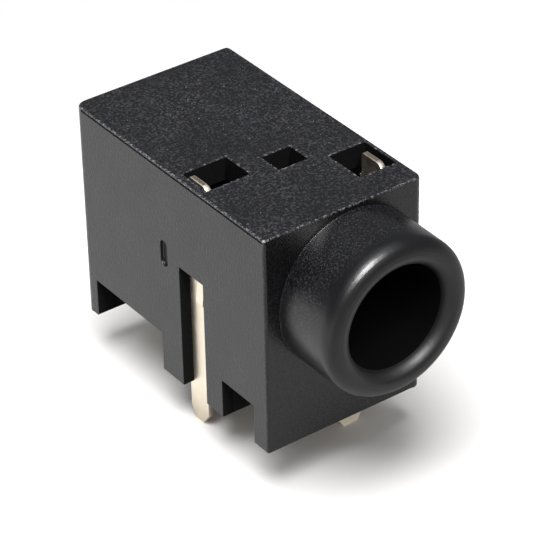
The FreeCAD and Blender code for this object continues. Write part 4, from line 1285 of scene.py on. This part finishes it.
def white_paper(name, settings):
    """A sweep of matt white paper.

    The eye sees the lamps' soft, slightly warm shadow near the socket and plain white farther
    out. Mirrored in the plastic and the gold the lit paper is dimmer, bright on the left and
    darker in front.
    """
    material, tree = new_material(name)
    place = add_node(tree, "ShaderNodeNewGeometry").outputs["Position"]
    ray = add_node(tree, "ShaderNodeLightPath").outputs
    glossy = ray["Is Glossy Ray"]
    seen = add_node(tree, "ShaderNodeMath", {0: ray["Is Camera Ray"], 1: glossy}, operation="MAXIMUM")
    seen = add_node(tree, "ShaderNodeMath", {0: seen, 1: ray["Is Transmission Ray"]}, operation="MAXIMUM")
    shade = add_node(tree, "ShaderNodeMix", {
        "Factor": glossy, "A": linear_colour("e9e8e7"), "B": linear_colour("bab9b8")}, data_type="RGBA")
    paper = add_node(tree, "ShaderNodeBsdfDiffuse", {"Color": shade})
    lift = add_node(tree, "ShaderNodeMath", {0: seen, 1: settings.paper_glow}, operation="MULTIPLY")
    glow = add_node(tree, "ShaderNodeEmission", {"Color": linear_colour("ffead4"), "Strength": lift})
    lit = add_node(tree, "ShaderNodeAddShader", {0: paper, 1: glow})
    # A painted pool of light on the paper under the front: the sleeve's leg stands in the body's shadow, yet
    # mirrors it bright
    under_front = near_boxes(tree, place, [((0.3, 0.5, -9), (2.4, 1.25, 9))], 0.1)
    painted_spill_light = add_node(tree, "ShaderNodeMath", {0: 0.55, 1: under_front}, operation="MULTIPLY")
    # Painted light in the paper's mirror image: brighter to the left and behind, dimmer in front
    parts = add_node(tree, "ShaderNodeSeparateXYZ", {0: place}).outputs
    leftward = add_node(tree, "ShaderNodeMath", {0: parts["Y"], 1: parts["X"]}, operation="SUBTRACT")
    side = add_node(tree, "ShaderNodeMapRange", {"Value": leftward, "From Max": 6 * MM})
    side = add_node(tree, "ShaderNodeMath", {0: side, 1: painted_spill_light}, operation="MAXIMUM")
    bright = add_node(tree, "ShaderNodeMapRange", {"Value": side, "To Min": 0.5, "To Max": 1.3})
    strength = add_node(tree, "ShaderNodeMix", {"Factor": glossy, "A": 1.0, "B": bright})
    white = add_node(tree, "ShaderNodeEmission", {"Color": (1, 1, 1, 1), "Strength": strength})
    # How much of the plain white shows: all of it far out, and in a mirror more on the left
    away = add_node(tree, "ShaderNodeVectorMath", {0: place}, operation="LENGTH")
    far = add_node(tree, "ShaderNodeMapRange", {
        "Value": away, "From Min": 10 * MM, "From Max": 32 * MM}, interpolation_type="SMOOTHSTEP")
    share = add_node(tree, "ShaderNodeMapRange", {"Value": side, "To Min": 0.2, "To Max": 0.9})
    beyond = outside_box(tree, place, (HOUSING_LOW[0], 1.2, -9), (HALF_WIDTH, BACK_Y, 9))
    clear = add_node(tree, "ShaderNodeMapRange", {
        "Value": beyond, "From Min": 0.1 * MM, "From Max": 0.9 * MM})
    clear = add_node(tree, "ShaderNodeMath", {0: clear, 1: painted_spill_light}, operation="MAXIMUM")
    mirrored = add_node(tree, "ShaderNodeMath", {0: share, 1: clear}, operation="MULTIPLY")
    mirrored = add_node(tree, "ShaderNodeMath", {0: glossy, 1: mirrored}, operation="MULTIPLY")
    level = add_node(tree, "ShaderNodeMath", {0: far, 1: seen}, operation="MULTIPLY")
    level = add_node(tree, "ShaderNodeMath", {0: level, 1: mirrored}, operation="MAXIMUM")
    both = add_node(tree, "ShaderNodeMixShader", {0: level, 1: lit, 2: white})
    add_node(tree, "ShaderNodeOutputMaterial", {"Surface": both})
    return material


class SOCKET_OT_stage(bpy.types.Operator):
    """Make the pale floor, the soft lamps, the world and the camera"""
    bl_idname = "socket.stage"
    bl_label = "Stage"

    def execute(self, context):
        settings = context.scene.socket_stage
        self.floor(settings)
        self.world(context)
        overhead = self.lamp("overhead_softbox", (-0.2, -0.15, 0.97), (220, 220), settings.overhead_power)
        # The plastic must not mirror it: the photograph's dark roof and flanks face no lamp
        overhead.visible_glossy = False
        front = self.lamp("front_softbox", (-0.18, -0.56, 0.81), (100, 140), settings.front_power)
        # It is there for its mirror image on the rim, not for its light on the paper
        front.visible_diffuse = False
        self.camera(context)
        context.scene.view_settings.view_transform = "Standard"
        return {"FINISHED"}

    def floor(self, settings):
        """A white paper sweep at the height of the legs' ends, which keeps the soft shadow."""
        half = settings.floor_size / 2
        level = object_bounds()[0].z
        corners = [(-half, -half, level), (half, -half, level), (half, half, level), (-half, half, level)]
        mesh = bpy.data.meshes.new("floor")
        mesh.from_pydata(corners, [], [(0, 1, 2, 3)])
        mesh.materials.append(white_paper("matt_white_paper", settings))
        floor = new_object("floor", mesh)
        floor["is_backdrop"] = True

    def world(self, context):
        """White to the eye; to the socket's surfaces a dim, slightly cool room with a pale ceiling."""
        world = bpy.data.worlds.new("studio")
        context.scene.world = world
        world.use_nodes = True
        tree = world.node_tree
        tree.nodes.clear()
        way = add_node(tree, "ShaderNodeTexCoord").outputs["Generated"]
        height = add_node(tree, "ShaderNodeSeparateXYZ", {0: way}).outputs["Z"]
        ceiling = add_node(tree, "ShaderNodeMapRange", {
            "Value": height, "From Min": 0.8, "From Max": 0.95, "To Min": 0.2, "To Max": 1.1})
        ray = add_node(tree, "ShaderNodeLightPath").outputs
        clear = add_node(tree, "ShaderNodeMath", {
            0: ray["Is Camera Ray"], 1: ray["Is Transmission Ray"]}, operation="MAXIMUM")
        room = add_node(tree, "ShaderNodeMix", {"Factor": ray["Is Glossy Ray"], "A": 0.42, "B": ceiling})
        level = add_node(tree, "ShaderNodeMix", {"Factor": clear, "A": room, "B": 1.0})
        tone = add_node(tree, "ShaderNodeMix", {
            "Factor": ray["Is Glossy Ray"], "A": (1, 1, 1, 1), "B": linear_colour("f0f3ff")},
            data_type="RGBA")
        sky = add_node(tree, "ShaderNodeBackground", {"Color": tone, "Strength": level})
        add_node(tree, "ShaderNodeOutputWorld", {"Surface": sky})

    def lamp(self, name, direction, size, power):
        """A softbox, wide and high as given, that faces the socket's middle from a direction."""
        light = bpy.data.lights.new(name, "AREA")
        light.shape = "RECTANGLE"
        light.size = size[0] * MM
        light.size_y = size[1] * MM
        light.energy = power
        lamp = new_object(name, light)
        way = Vector(direction).normalized()
        middle = Vector((0.0, (HOUSING_LOW[1] + BACK_Y) / 2, TOP_Z / 2)) * MM
        lamp.matrix_world = Matrix.Translation(middle + way * LAMP_DISTANCE * MM) @ \
            (-way).to_track_quat("-Z", "Y").to_matrix().to_4x4()
        return lamp

    def camera(self, context):
        """The photograph's camera: a long lens, turned and rolled as the photograph shows."""
        level = math.cos(VIEW_ELEVATION)
        back = Vector((math.sin(VIEW_AZIMUTH) * level, -math.cos(VIEW_AZIMUTH) * level,
                       math.sin(VIEW_ELEVATION)))
        right = Vector((math.cos(VIEW_AZIMUTH), math.sin(VIEW_AZIMUTH), 0.0))
        up = back.cross(right)
        rolled_right = right * math.cos(VIEW_ROLL) + up * math.sin(VIEW_ROLL)
        rolled_up = up * math.cos(VIEW_ROLL) - right * math.sin(VIEW_ROLL)
        place = back * VIEW_DISTANCE + rolled_right * VIEW_SIDE + rolled_up * VIEW_UP
        data = bpy.data.cameras.new("camera")
        data.sensor_width = SENSOR
        data.lens = FOCAL_PIXELS / FRAME_PIXELS * SENSOR
        data.clip_start = 1 * MM
        camera = new_object("camera", data)
        turned = Matrix((rolled_right, rolled_up, back)).transposed()
        camera.matrix_world = Matrix.Translation(place * MM) @ turned.to_4x4()
        context.scene.camera = camera


class SOCKET_PT_parts(bpy.types.Panel):
    """The socket's operators and settings in the 3D view's sidebar"""
    bl_idname = "SOCKET_PT_parts"
    bl_label = "Jack socket"
    bl_space_type = "VIEW_3D"
    bl_region_type = "UI"
    bl_category = "Jack socket"

    def draw(self, context):
        for name, operators in SECTIONS.items():
            box = self.layout.box()
            settings = getattr(context.scene, name)
            for key in settings.__annotations__:
                box.prop(settings, key)
            for operator in operators:
                box.operator(operator.bl_idname)


SECTIONS = {
    "socket_moulding": (SOCKET_OT_housing, SOCKET_OT_cover),
    "socket_barrel": (SOCKET_OT_barrel,),
    "socket_contacts": (SOCKET_OT_terminals, SOCKET_OT_arms),
    "socket_stage": (SOCKET_OT_stage,),
}
GROUPS = {
    "socket_moulding": MouldingSettings,
    "socket_barrel": BarrelSettings,
    "socket_contacts": ContactSettings,
    "socket_stage": StageSettings,
}
CLASSES = (*GROUPS.values(), SOCKET_OT_housing, SOCKET_OT_barrel, SOCKET_OT_cover,
           SOCKET_OT_terminals, SOCKET_OT_arms, SOCKET_OT_stage, SOCKET_PT_parts)


def register():
    """Register the settings, the operators and the panel."""
    for each in CLASSES:
        bpy.utils.register_class(each)
    for name, group in GROUPS.items():
        setattr(bpy.types.Scene, name, PointerProperty(type=group))


def unregister():
    """Take the panel, the operators and the settings away again."""
    for name in GROUPS:
        delattr(bpy.types.Scene, name)
    for each in reversed(CLASSES):
        bpy.utils.unregister_class(each)


def main():
    """Dress the frame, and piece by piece."""
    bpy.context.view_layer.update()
    register()
    bpy.ops.socket.housing()
    bpy.ops.socket.barrel()
    bpy.ops.socket.cover()
    bpy.ops.socket.terminals()
    bpy.ops.socket.arms()
    bpy.ops.socket.stage()


if __name__ == "__main__":
    main()
